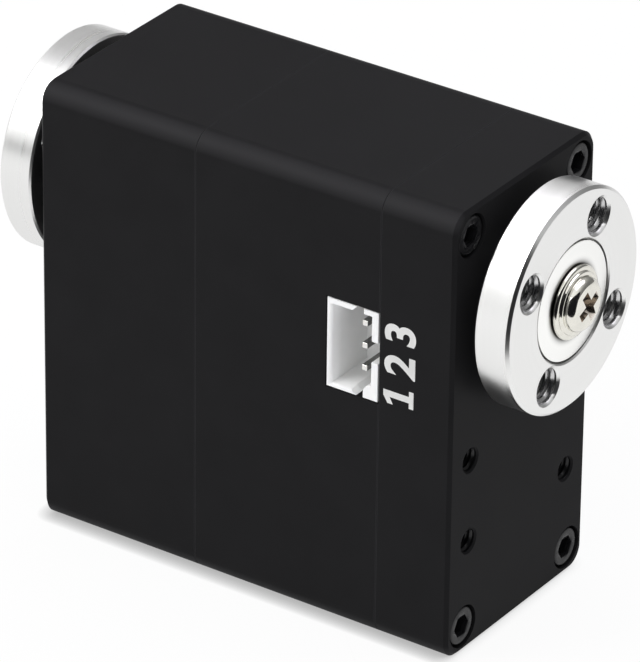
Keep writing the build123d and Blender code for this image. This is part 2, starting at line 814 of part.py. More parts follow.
with BuildPart() as motor_armature:
    with BuildSketch(at_depth(armature_back_y)):
        with Locations(motor_axis):
            Circle(armature_radius)
            with PolarLocations((armature_radius + armature_core_radius) / 2, armature_slots, 90):
                Rectangle(armature_radius - armature_core_radius, armature_slot_width, mode=Mode.SUBTRACT)
            Circle(motor_shaft_radius + seat_clearance, mode=Mode.SUBTRACT)
    extrude(amount=armature_back_y - armature_front_y)

motor_commutator = turned(
    motor_axis,
    [(commutator_front_y, armature_front_y, commutator_radius)],
    [(commutator_front_y, armature_front_y, motor_shaft_radius + seat_clearance)])
motor_shaft = turned(
    motor_axis, [(motor_front_y, rear_floor_y + axle_seat_depth - end_float, motor_shaft_radius)])

with BuildPart() as motor_pinion:
    with BuildSketch(at_depth(first_back_y)):
        with Locations(motor_axis):
            Polygon(*pinion_outline(first_pinion_teeth, fine_module, up), align=None)
            Circle(motor_shaft_radius + seat_clearance, mode=Mode.SUBTRACT)
    extrude(amount=first_face_width)

with BuildPart() as motor_screws:
    with BuildSketch(at_depth(rear_seam_y + motor_screw_head)):
        with Locations(*motor_screw_places):
            Circle(motor_screw_head_radius)
    extrude(amount=motor_screw_head)
    with BuildSketch(at_depth(rear_seam_y)):
        with Locations(*motor_screw_places):
            Circle(motor_screw_radius)
    extrude(amount=motor_screw_length)

with BuildPart() as motor_terminals:
    with BuildSketch(at_depth(motor_front_y)):
        with Locations(*[(x, motor_z + terminal_rise) for x in terminal_xs]):
            Rectangle(terminal_width, terminal_height)
    extrude(amount=terminal_length)

with BuildPart() as motor_leads:
    for x in terminal_xs:
        with BuildLine() as lead_route:
            FilletPolyline((x, lead_y, motor_z + terminal_rise + terminal_height / 2),
                           (x, lead_y, lead_z), (x, board_front_y, lead_z), radius=lead_bend_radius)
        with BuildSketch(Plane(lead_route.wires()[0] @ 0, z_dir=lead_route.wires()[0] % 0)):
            Circle(lead_radius)
        sweep()


# Control board, sensor and sockets


with BuildPart() as circuit_board:
    with BuildSketch(at_depth(board_back_y)):
        with Locations((0, (space_low_z + space_high_z) / 2)):
            Rectangle(case_width - 2 * wall - 2 * board_edge_gap,
                      space_high_z - space_low_z - 2 * board_edge_gap)
        with Locations(*screw_places):
            Circle(board_corner_radius, mode=Mode.SUBTRACT)
        with Locations(output_axis):
            Circle(shaft_radius + board_hole_clearance, mode=Mode.SUBTRACT)
        with Locations(*pin_tail_places):
            Rectangle(pin_size + 2 * seat_clearance, pin_size + 2 * seat_clearance, mode=Mode.SUBTRACT)
    extrude(amount=board_thickness)

encoder_magnet = turned(
    output_axis,
    [(ring_magnet_y, ring_magnet_y + ring_magnet_length, ring_magnet_radius)],
    [(ring_magnet_y, ring_magnet_y + ring_magnet_length, bearing_bore_radius)])

with BuildPart() as encoder_chip:
    with BuildSketch(at_depth(board_back_y + encoder_height)):
        with Locations((0, output_z - ring_magnet_radius - encoder_size / 2)):
            Rectangle(encoder_size, encoder_size)
    extrude(amount=encoder_height)

with BuildPart() as board_chips:
    # The controller in front, between the sockets, and the two halves of the motor bridge behind
    with BuildSketch(at_depth(board_front_y)):
        with Locations((0, output_z - shaft_radius - board_hole_clearance - controller_size / 2)):
            Rectangle(controller_size, controller_size)
    extrude(amount=chip_height)
    with BuildSketch(at_depth(board_back_y + chip_height)):
        with Locations((-driver_x, driver_z), (driver_x, driver_z)):
            Rectangle(driver_size, driver_size)
    extrude(amount=chip_height)

with BuildPart() as left_socket:
    # Moulded body, open towards the left side
    with BuildSketch(Plane.YZ.offset(socket_floor_x)):
        with Locations((socket_middle_y, socket_centre_z)):
            Rectangle(socket_breadth, socket_height)
    extrude(amount=socket_mouth_x - socket_floor_x)
    with BuildSketch(Plane.YZ.offset(socket_mouth_x)):
        with Locations((socket_middle_y, socket_centre_z)):
            Rectangle(socket_breadth - 2 * socket_wall, socket_height - 2 * socket_end_wall)
    extrude(amount=socket_depth - socket_floor, mode=Mode.SUBTRACT)
    # Rounded foot in the lower front corner
    with BuildSketch(Plane.YZ.offset(socket_mouth_x)):
        with Locations((socket_front_y + socket_foot / 2, socket_low_z + socket_foot_height / 2)):
            foot = Rectangle(socket_foot, socket_foot_height)
        fillet(foot.vertices().sort_by(Axis.X)[-2:].sort_by(Axis.Y)[-1], socket_foot_radius)
    extrude(amount=socket_depth - socket_floor)
    # Keyway in the front wall, and a notch in each end wall behind the front corner, flared inwards
    with BuildSketch(Plane.YZ.offset(socket_mouth_x)):
        with Locations((socket_front_y + socket_wall / 2, socket_centre_z + socket_key_offset)):
            Rectangle(socket_wall, socket_key_width)
    extrude(amount=socket_depth - socket_key_end, mode=Mode.SUBTRACT)
    notch_y = socket_front_y + socket_foot
    with BuildSketch(Plane.YZ.offset(socket_mouth_x)):
        for outer_z, inner_z in ((socket_low_z, socket_low_z + socket_end_wall),
                                 (socket_high_z, socket_high_z - socket_end_wall)):
            Polygon((notch_y, outer_z), (notch_y + socket_notch, outer_z),
                    (notch_y + socket_notch + socket_notch_flare, inner_z), (notch_y, inner_z), align=None)
    extrude(amount=socket_depth - socket_notch_end, mode=Mode.SUBTRACT)
    # Holes for the pins through the floor, and for their tails down to the board
    with BuildSketch(Plane.YZ.offset(pin_tail_x + pin_size / 2 + seat_clearance)):
        with Locations(*pin_places):
            Rectangle(pin_size + 2 * seat_clearance, pin_size + 2 * seat_clearance)
    extrude(amount=socket_mouth_x - pin_tail_x - pin_size / 2 - seat_clearance, mode=Mode.SUBTRACT)
    with BuildSketch(at_depth(board_front_y)):
        with Locations(*pin_tail_places[:pin_count]):
            Rectangle(pin_size + 2 * seat_clearance, pin_size + 2 * seat_clearance)
    extrude(amount=board_front_y - pin_y, mode=Mode.SUBTRACT)

with BuildPart() as left_contacts:
    with BuildSketch(Plane.YZ.offset(pin_tip_x)):
        with Locations(*pin_places):
            Rectangle(pin_size, pin_size)
    extrude(amount=pin_tail_x + pin_size / 2 - pin_tip_x)
    with BuildSketch(at_depth(board_back_y + pin_tail)):
        with Locations(*pin_tail_places[:pin_count]):
            Rectangle(pin_size, pin_size)
    extrude(amount=board_back_y + pin_tail - pin_y)

# The right socket is the same piece, turned half a turn about an axis along Y
half_turn = Axis((0, 0, socket_centre_z), (0, 1, 0))
right_socket = left_socket.part.rotate(half_turn, 180)
right_contacts = left_contacts.part.rotate(half_turn, 180)


# Output


pieces = {
    "front_cover": front_cover.part,
    "middle_case": middle_case.part,
    "rear_cover": rear_cover.part,
    "case_screws": case_screws.part,
    "output_shaft": output_shaft.part,
    "output_horn": output_horn.part,
    "horn_washer": horn_washer.part,
    "horn_screw": horn_screw.part,
    "front_bearing_outer": front_bearing_outer.part,
    "front_bearing_inner": front_bearing_inner.part,
    "centre_bearing_outer": centre_bearing_outer.part,
    "centre_bearing_inner": centre_bearing_inner.part,
    "rear_horn": rear_horn.part,
    "rear_bearing_outer": rear_bearing_outer.part,
    "rear_bearing_inner": rear_bearing_inner.part,
    "rear_washer": rear_washer.part,
    "rear_screw": rear_screw.part,
    "output_gear": output_gear.part,
    "third_gear": third_gear.part,
    "second_gear": second_gear.part,
    "first_gear": first_gear.part,
    "gear_axle_pin": gear_axle_pin.part,
    "output_axle_pin": output_axle_pin.part,
    "motor_can": motor_can.part,
    "motor_end_cap": motor_end_cap.part,
    "motor_magnets": motor_magnets.part,
    "motor_armature": motor_armature.part,
    "motor_commutator": motor_commutator.part,
    "motor_shaft": motor_shaft.part,
    "motor_pinion": motor_pinion.part,
    "motor_screws": motor_screws.part,
    "motor_terminals": motor_terminals.part,
    "motor_leads": motor_leads.part,
    "circuit_board": circuit_board.part,
    "encoder_magnet": encoder_magnet.part,
    "encoder_chip": encoder_chip.part,
    "board_chips": board_chips.part,
    "left_socket": left_socket.part,
    "left_contacts": left_contacts.part,
    "right_socket": right_socket,
    "right_contacts": right_contacts,
}

os.makedirs("parts", exist_ok=True)
for name, piece in pieces.items():
    piece.label = name
    export_step(piece, f"parts/{name}.step")
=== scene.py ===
"""Looks of the serial bus servo: bevelled hardware, threads, print, finishes, studio and camera."""
import json
from math import ceil, cos, pi, radians, sin

import bmesh
import bpy
from bpy.props import FloatProperty, FloatVectorProperty, IntProperty, PointerProperty, StringProperty
from mathutils import Matrix, Vector


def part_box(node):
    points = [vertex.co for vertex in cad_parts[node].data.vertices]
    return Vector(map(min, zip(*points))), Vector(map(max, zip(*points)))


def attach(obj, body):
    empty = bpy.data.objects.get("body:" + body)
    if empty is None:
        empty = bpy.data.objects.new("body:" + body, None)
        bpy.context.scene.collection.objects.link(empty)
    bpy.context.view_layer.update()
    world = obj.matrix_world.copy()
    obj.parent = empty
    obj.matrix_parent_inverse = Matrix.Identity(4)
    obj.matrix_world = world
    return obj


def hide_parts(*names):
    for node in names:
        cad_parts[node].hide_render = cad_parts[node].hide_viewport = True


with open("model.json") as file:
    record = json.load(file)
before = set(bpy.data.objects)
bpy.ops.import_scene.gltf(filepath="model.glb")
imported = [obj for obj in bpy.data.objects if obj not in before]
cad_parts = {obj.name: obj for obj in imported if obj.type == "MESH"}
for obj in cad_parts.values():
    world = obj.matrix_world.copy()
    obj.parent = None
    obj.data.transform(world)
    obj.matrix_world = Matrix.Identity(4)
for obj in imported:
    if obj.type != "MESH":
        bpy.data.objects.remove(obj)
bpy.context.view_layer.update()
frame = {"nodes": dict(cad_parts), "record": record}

bl_info = {
    "name": "Serial bus servo looks",
    "version": (1, 0, 0),
    "blender": (4, 5, 0),
    "location": "3D View > Sidebar > Servo",
    "description": "Builds the servo's visible hardware, finishes and studio around its packed frame",
    "category": "Object",
}

MM = 0.001

# Places read from the frame
horn_low, horn_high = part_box("output_horn")
rear_horn_low, rear_horn_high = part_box("rear_horn")
washer_low, washer_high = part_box("horn_washer")
cover_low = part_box("front_cover")[0]
rear_cover_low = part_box("rear_cover")[0]
middle_low, middle_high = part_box("middle_case")
socket_low, socket_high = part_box("left_socket")
OUTPUT_AXIS = (horn_low + horn_high) / 2
OUTPUT_AXIS.y = 0
HORN_RADIUS = (horn_high.x - horn_low.x) / 2
HORN_THICKNESS = rear_horn_high.y - rear_horn_low.y

# Fineness of the meshes
ROUND_STEPS = 160
DOME_STEPS = 9
KNURLS = 48
MOUTH_STEPS = 24
FOOT_STEPS = 6
SMALL_EDGE = 0.18

# Collar of a centre screw from its seat outwards: shares of its radius and of its height
COLLAR_PROFILE = [(0.88, 0.0), (0.88, 0.1), (0.97, 0.14), (1.0, 0.3), (0.995, 0.5), (0.965, 0.64),
                  (0.91, 0.7), (0.865, 0.7), (0.855, 0.74), (0.85, 0.92), (0.835, 0.98), (0.8, 1.0)]

# Small steps of the screws: foot of a centre screw's head, rounding of its recess, rim of a hex socket
HEAD_FOOT = 0.04 * MM
RECESS_EDGE = 0.03 * MM
HEX_DROP = 0.03 * MM

# Dome of a centre screw: how far its round shoulder turns, and the circles of its crown as shares
DOME_LEAN = radians(82)
CROWN_SHARES = (0.8, 0.6, 0.4, 0.2, 0.05)

# Tip of the drill point under a hex socket and bore of a washer, as shares of the socket's depth and
# of the screw's radius
DRILL_TIP = 1.25
WASHER_BORE = 1.07

# Rounded back edge of a horn's disc as a share of its front edge
BACK_EDGE = 0.6

# One turn of a thread: part of the pitch and share of the ridge's height
THREAD_PROFILE = [(0.0, 0.0), (0.14, 0.0), (0.5, 1.0), (0.62, 1.0)]

# Part of a turn at each end where a thread joins its plain circle, and thickness of the sleeve behind it
THREAD_END = 0.02
SLEEVE = 0.001 * MM

# Thickness of the ink, and height of a capital as a share of the font's size
INK = 0.006 * MM
CAP_SHARE = 0.73

# Outline of a 1 with a flag and a foot, in shares of its height
ONE_OUTLINE = [(-0.26, 0.0), (0.28, 0.0), (0.28, 0.15), (0.11, 0.15), (0.11, 1.0), (-0.07, 1.0), (-0.3, 0.86),
               (-0.3, 0.68), (-0.09, 0.79), (-0.09, 0.15), (-0.26, 0.15)]

# What bright metal mirrors: the bright side of the room and of the floor, their lowest and highest
# strength, and how far from the middle the strength still changes
ROOM_SIDE, ROOM_LOW, ROOM_HIGH, ROOM_REACH = (-0.62, 0.48, 0.62), 0.2, 1.1, 0.6
FLOOR_SIDE, FLOOR_LOW, FLOOR_HIGH, FLOOR_REACH = (-0.7, -0.7, 0), 0.86, 1.1, 0.09

# From the middle of the floor to its edge in metres, tone of the contact shadow where it is darkest, and
# how open the floor is there
FLOOR_HALF = 3.0
CONTACT_TONE = 0.46
CONTACT_OPEN = 0.2

# Size of the soft spots on the mirror cards
CARD_SPOTS = 2.5 * MM

# Soft boxes: name, place in metres, width and height, power, tint
LAMPS = [
    ("back_box", (-0.29, 0.32, 0.45), 0.3, 1.7, (1, 1, 1)),
    ("top_box", (0.18, -0.02, 0.6), 0.6, 1.9, (0.93, 0.9, 1.0)),
    ("side_box", (-0.5, -0.08, 0.34), 0.25, 0.35, (1, 1, 1)),
]


# Settings


def length(name, description, default, **more):
    """A size in metres with a slider in the panel."""
    return FloatProperty(name=name, description=description, default=default, subtype="DISTANCE",
                         unit="LENGTH", precision=5, min=0, **more)


def share(name, description, default, **more):
    """A plain number from 0 to 1."""
    return FloatProperty(name=name, description=description, default=default, min=0, max=1, **more)


def angle(name, description, degrees):
    """An angle."""
    return FloatProperty(name=name, description=description, default=radians(degrees), subtype="ANGLE",
                         unit="ROTATION")


def number(name, description, default, low=0.0):
    """A plain number from a lowest value up."""
    return FloatProperty(name=name, description=description, default=default, min=low)


def direction(name, description, default):
    """A direction in space."""
    return FloatVectorProperty(name=name, description=description, default=default, size=3,
                               subtype="DIRECTION")


def colour(name, description, default):
    """A linear colour."""
    return FloatVectorProperty(name=name, description=description, default=default, size=3,
                               subtype="COLOR", min=0, max=1)


class AnodiseSettings(bpy.types.PropertyGroup):
    """Finish of the three case parts."""
    base: colour("Colour", "Black of the anodised case", (0.0136, 0.0135, 0.0141))
    roughness: share("Roughness", "Roughness of the blasted surface", 0.46)
    grain: length("Grain", "Size of the blasted grain", 0.09 * MM)
    corner: length("Corner", "Radius of the long rounded corners", 1.8 * MM)
    # The next three settings paint light: a lighter line along each seam over its shade, and a highlight
    # painted on the long rounded corners.
    painted_seam_light: length("Seam wear", "Width of the lighter line along a seam", 0.1 * MM)
    painted_light: number("Wear", "How much lighter the worn corners are", 2.0, 1)
    seam_tone: number("Seam tone", "How much lighter the seams are", 2.3, 1)


class HornSettings(bpy.types.PropertyGroup):
    """Shape and finish of both horns, finish of the washers."""
    hole_circle: length("Hole circle", "Diameter of the circle of the holes", 14 * MM)
    hole_radius: length("Hole radius", "Outer radius of a hole's thread", 1.5 * MM)
    hole_mouth: length("Hole mouth", "Width of the bevel at a hole's mouth", 0.22 * MM)
    turn: angle("Turn", "Angle of the first hole from the top", 28.5)
    edge: length("Edge", "Size of the rounded outer edges", 0.25 * MM)
    recess_edge: length("Recess edge", "Bevel at the edge of the recess and the hub", 0.12 * MM)
    washer_gap: length("Washer gap", "Gap round the widest washer in its recess", 0.12 * MM)
    hub_radius: length("Hub radius", "Radius of the driven horn's hub", 4.2 * MM)
    bore_radius: length("Bore radius", "Radius of the splined bore", 2.96 * MM)
    spline_teeth: IntProperty(name="Spline teeth", description="Teeth in the splined bore", default=25, min=3)
    spline_height: length("Spline height", "Height of a tooth of the spline", 0.22 * MM)
    rear_bore_radius: length("Idler bore radius", "Radius of the idler horn's bore", 5.01 * MM)
    base: colour("Colour", "Colour of the turned aluminium", (0.84, 0.84, 0.83))
    washer: colour("Washer colour", "Colour of the washer", (0.98, 0.98, 0.96))
    # The next two settings paint shade: a dark ring on the washer round a centre screw's collar.
    collar_shade: colour("Oil colour", "Colour of the dried oil round a screw's collar", (0.03, 0.028, 0.024))
    collar_shade_width: length("Oil ring", "Width of the ring of dried oil", 0.75 * MM)
    roughness: share("Roughness", "Roughness of the turned faces", 0.29)
    mark_pitch: length("Turning mark pitch", "Distance from one turning mark to the next", 0.12 * MM)


class ThreadSettings(bpy.types.PropertyGroup):
    """Threads in the holes of the horns and of the front cover."""
    horn_pitch: length("Horn thread pitch", "Pitch of the M3 threads", 0.5 * MM)
    case_pitch: length("Case thread pitch", "Pitch of the M2 threads", 0.4 * MM)
    mount_radius: length("Mounting hole radius", "Radius of the front cover's mounting holes", 0.998 * MM)
    mount_inset: length("Mounting hole inset", "From a side of the case to a mounting hole", 2.9 * MM)
    mount_low: length("Lower mounting hole", "Height of the lower mounting holes", 10 * MM)
    mount_rise: length("Mounting hole rise", "From the lower to the upper mounting holes", 7.4 * MM)
    mount_mouth: length("Mounting hole mouth", "Depth of the bevel at the mouth", 0.16 * MM)
    mount_depth: length("Mounting thread depth", "Length of the thread in a mounting hole", 3.4 * MM)
    depth_share: share("Thread depth", "Height of a thread's ridge as a share of its pitch", 0.46)
    turn_steps: IntProperty(name="Steps in a turn", description="Straight steps in one turn of a thread",
                            default=48, min=8)


class ScrewSettings(bpy.types.PropertyGroup):
    """Centre screws, washers and case screws."""
    collar_radius: length("Collar radius", "Radius of a centre screw's collar", 3.12 * MM)
    collar_height: length("Collar height", "Height of the collar", 0.75 * MM)
    head_radius: length("Head radius", "Radius of the head on the collar", 2.3 * MM)
    head_height: length("Head height", "Height of the head", 0.9 * MM)
    head_side: length("Head side", "Height of the head's straight side", 0.06 * MM)
    head_round: length("Head round", "Radius of the head's round shoulder", 0.74 * MM)
    thread_radius: length("Thread radius", "Radius of a centre screw's thread", 1.49 * MM)
    cross_length: length("Cross length", "Length of the cross recess", 2.7 * MM)
    cross_width: length("Cross width", "Width of an arm of the recess", 0.8 * MM)
    cross_depth: length("Cross depth", "Depth of the recess", 1.0 * MM)
    cross_turn: angle("Cross turn", "Angle of the recess's first arm", 27.5)
    washer_slack: length("Washer slack", "How much a washer's radius is below its largest size", 0.04 * MM)
    washer_edge: length("Washer edge", "Rounded edge of a washer", 0.1 * MM)
    cap_radius: length("Cap radius", "Radius of a case screw's head", 1.65 * MM)
    cap_height: length("Cap height", "Height of a case screw's head", 1.9 * MM)
    cap_edge: length("Cap edge", "Rounded edge of a case screw's head", 0.2 * MM)
    knurl: length("Knurl", "Depth of the knurling on the head's side", 0.05 * MM)
    shank_radius: length("Shank radius", "Radius of a case screw's shank", 1.0 * MM)
    socket_flats: length("Socket flats", "Across the flats of the hex socket", 1.74 * MM)
    socket_mouth: length("Socket mouth", "Radius of the countersink round the socket", 1.04 * MM)
    socket_depth: length("Socket depth", "Depth of the hex socket", 1.0 * MM)


class SocketSettings(bpy.types.PropertyGroup):
    """Walls, keyway, notches and rounded edges of the sockets and pins."""
    wall: length("Side wall", "Thickness of the side walls", 0.62 * MM)
    end_wall: length("End wall", "Thickness of the end walls", 0.5 * MM)
    floor: length("Floor", "Thickness of the floor", 1.2 * MM)
    key_width: length("Key width", "Width of the keyway in the front wall", 1.85 * MM)
    key_offset: FloatProperty(name="Key offset", description="Height of the keyway above the middle",
                              default=0.35 * MM, subtype="DISTANCE", unit="LENGTH", precision=5)
    key_end: length("Key end", "From the back to the end of the keyway", 2.4 * MM)
    notch: length("Notch", "Width of an end wall's notch at its outer side", 0.6 * MM)
    flare: length("Flare", "How much wider the notch is at its inner side", 0.5 * MM)
    notch_end: length("Notch end", "From the back to the end of a notch", 2.9 * MM)
    foot_length: length("Foot length", "Length of the foot along the end wall", 1.4 * MM)
    foot_height: length("Foot height", "Height of the rounded foot", 1.25 * MM)
    foot_radius: length("Foot radius", "Radius of the foot's round corner", 0.75 * MM)
    lip_rise: length("Lip", "How far the lead-in widens the mouth", 0.2 * MM)
    lip_depth: length("Lip depth", "Depth of the lead-in", 0.8 * MM)
    inset: length("Inset", "How far hidden fillings stay inside the walls", 0.02 * MM)
    wall_edge: length("Wall edge", "Rounding of the inner edges at the mouth", 0.3 * MM)
    rear_gap: length("Rear gap", "Extra gap behind the rear wall", 0.08 * MM)
    pin_edge: length("Pin edge", "Rounding of the pins", 0.05 * MM)


class PrintSettings(bpy.types.PropertyGroup):
    """Printed numbers beside the left socket."""
    letters: StringProperty(name="Numbers", description="Printed pin numbers, from the low pin up",
                            default="123")
    height: length("Height", "Height of a printed number", 2.85 * MM)
    spacing: length("Spacing", "Distance from one number to the next", 2.8 * MM)
    seam_gap: length("Seam gap", "From the front seam to the tops of the numbers", 0.45 * MM)
    boldness: length("Boldness", "How far the strokes are widened", 0.11 * MM)
    base: colour("Colour", "Colour of the print", (0.7, 0.7, 0.68))


class StudioSettings(bpy.types.PropertyGroup):
    """Floor, lights and camera."""
    azimuth: angle("Azimuth", "Camera direction to the left of the front", 55.68)
    elevation: angle("Elevation", "Camera height as an angle", 28.70)
    roll: angle("Roll", "Camera turn about its own view", 0.705)
    distance: length("Distance", "Distance from the camera to its aim", 516.5 * MM)
    aim: FloatVectorProperty(name="Aim", description="Point that the camera looks at", size=3,
                             default=(0.16 * MM, -0.75 * MM, 19.48 * MM), subtype="TRANSLATION",
                             unit="LENGTH", precision=5)
    focal_length: number("Focal length", "Camera lens in millimetres", 346.63, 1)
    shift: FloatVectorProperty(name="Shift", description="Lens shift across and up", size=2,
                               default=(-0.00367, 0.00273), precision=5)
    floor: colour("Floor", "Colour of the floor", (0.93, 0.93, 0.93))
    ambient: number("Ambient", "Strength of the soft light from all round", 0.48)
    floor_glow: share("Floor glow", "How much of the floor's white is its own light", 0.94)
    contact_reach: length("Contact shadow reach", "Width of the dark line where the part stands", 1.3 * MM)
    contact_side: direction("Contact shadow side", "Side that the shadow leans to", (0.55, -0.55, 0.63))
    card_azimuth: angle("Card azimuth", "Direction of the dark card from the front", 42)
    card_distance: length("Card distance", "From the driven horn to the dark card", 47 * MM)
    card_width: length("Card width", "Width of the dark card", 120 * MM)
    card_height: length("Card height", "Height of the dark card", 76 * MM)
    bar_heading: direction("Bar heading", "Direction of the dark bar from the rear horn", (-0.86, 0.49, 0.1))
    bar_distance: length("Bar distance", "From the rear horn's rim to the dark bar", 150 * MM)
    bar_width: length("Bar width", "Width of the dark bar", 44 * MM)
    bar_height: length("Bar height", "Height of the dark bar", 28 * MM)
    sheet_heading: direction("Sheet heading", "Direction of the grey sheet from the rear horn",
                             (0.6, 0.49, 0.63))
    sheet_distance: length("Sheet distance", "From the rear horn's rim to the grey sheet", 50 * MM)
    sheet_size: length("Sheet size", "Width and height of the grey sheet", 56 * MM)


# Mesh helpers


def about_axis(radius, y, angle, centre=OUTPUT_AXIS):
    """A point at a radius and angle about an axis along Y."""
    return Vector((centre.x + radius * sin(angle), y, centre.z + radius * cos(angle)))


def ring(bm, radius, y, steps, centre=OUTPUT_AXIS):
    """A circle of vertices about an axis along Y."""
    return [bm.verts.new(about_axis(radius, y, 2 * pi * step / steps, centre)) for step in range(steps)]


def bridge(bm, first, second):
    """A closed band of quads between two rings of as many vertices."""
    count = len(first)
    return [bm.faces.new((first[i], first[(i + 1) % count], second[(i + 1) % count], second[i]))
            for i in range(count)]


def skin(bm, profile, steps, centre=OUTPUT_AXIS):
    """Bands of quads through circles of (radius, y). Returns the first and the last ring."""
    rings = [ring(bm, radius, y, steps, centre) for radius, y in profile]
    for first, second in zip(rings, rings[1:]):
        bridge(bm, first, second)
    return rings[0], rings[-1]


def fill(bm, *loops):
    """A flat face inside the first loop and outside the others."""
    edges = []
    for loop in loops:
        for start, end in zip(loop, loop[1:] + loop[:1]):
            edge = bm.edges.get((start, end)) or bm.edges.new((start, end))
            edges.append(edge)
    bmesh.ops.triangle_fill(bm, use_beauty=True, use_dissolve=False, edges=edges)


def new_object(name, data):
    """An object in the scene."""
    made = bpy.data.objects.new(name, data)
    bpy.context.scene.collection.objects.link(made)
    return made


def mesh_of(name, bm):
    """A mesh from the finished bmesh, with its faces turned outwards."""
    bmesh.ops.recalc_face_normals(bm, faces=bm.faces)
    mesh = bpy.data.meshes.new(name)
    bm.to_mesh(mesh)
    bm.free()
    return mesh


def finish_mesh(name, bm, material, sharp_angle=radians(35)):
    """An object from the mesh, smooth but for its sharp edges."""
    mesh = mesh_of(name, bm)
    for polygon in mesh.polygons:
        polygon.use_smooth = True
    mesh.set_sharp_from_angle(angle=sharp_angle)
    mesh.materials.append(material)
    return new_object(name, mesh)


def modify(piece, name, kind, **settings):
    """A modifier on a piece, with its settings."""
    made = piece.modifiers.new(name, kind)
    for setting, value in settings.items():
        setattr(made, setting, value)


def place(piece, body, slot, *nodes):
    """The piece rides on a body and stands for nodes where any are given, which are hidden. The slot is not
    used.
    """
    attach(piece, body)
    if nodes:
        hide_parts(*nodes)


def keep_faces_flat(piece):
    """Flat faces stay flat in shading, and the small rounds beside them carry the bend."""
    modify(piece, "flat_faces", "WEIGHTED_NORMAL", keep_sharp=True, weight=100)


def bake_modifiers(piece):
    """The piece's mesh as its modifiers leave it, without them."""
    source = piece.evaluated_get(bpy.context.evaluated_depsgraph_get())
    mesh = bpy.data.meshes.new_from_object(source)
    piece.modifiers.clear()
    piece.data = mesh
    mesh.set_sharp_from_angle(angle=radians(50))


# Material helpers


class Nodes:
    """A node tree, with short calls for the nodes that the finishes and the studio share."""

    def __init__(self, tree):
        self.tree = tree

    def node(self, kind, *values, **named):
        """A new node. Values fill its inputs in order, and capitalised names the inputs of those names.
        Other names are the node's own settings. A socket as a value is linked."""
        made = self.tree.nodes.new("ShaderNode" + kind)
        for name, value in named.items():
            if not name[0].isupper():
                setattr(made, name, value)
        self.fill(zip(made.inputs, values))
        self.fill_named(made, **{name: value for name, value in named.items() if name[0].isupper()})
        return made

    def fill_named(self, node, **named):
        """Values for a node's inputs by their names, with an underscore for each space."""
        self.fill((node.inputs[name.replace("_", " ")], value) for name, value in named.items())

    def fill(self, pairs):
        """Sets each socket to its value, or links it where the value is a socket too."""
        for socket, value in pairs:
            if isinstance(value, bpy.types.NodeSocket):
                self.tree.links.new(value, socket)
            elif value is not None:
                socket.default_value = value

    def math(self, operation, *values):
        """The result of a sum on one or two values."""
        return self.node("Math", *values, operation=operation).outputs[0]

    def place(self):
        """Object coordinates."""
        return self.node("TexCoord").outputs["Object"]

    def parts(self, vector):
        """The three parts of a vector."""
        return self.node("SeparateXYZ", vector).outputs

    def spread(self, value, low, high, from_low=0.3, from_high=0.7, **settings):
        """A value taken from one range to another."""
        return self.node("MapRange", Value=value, From_Min=from_low, From_Max=from_high, To_Min=low,
                         To_Max=high, **settings).outputs["Result"]

    def blend(self, data_type, factor, first, second):
        """Two values or colours blended by a factor."""
        return self.node("Mix", data_type=data_type, Factor=factor, A=first, B=second).outputs["Result"]


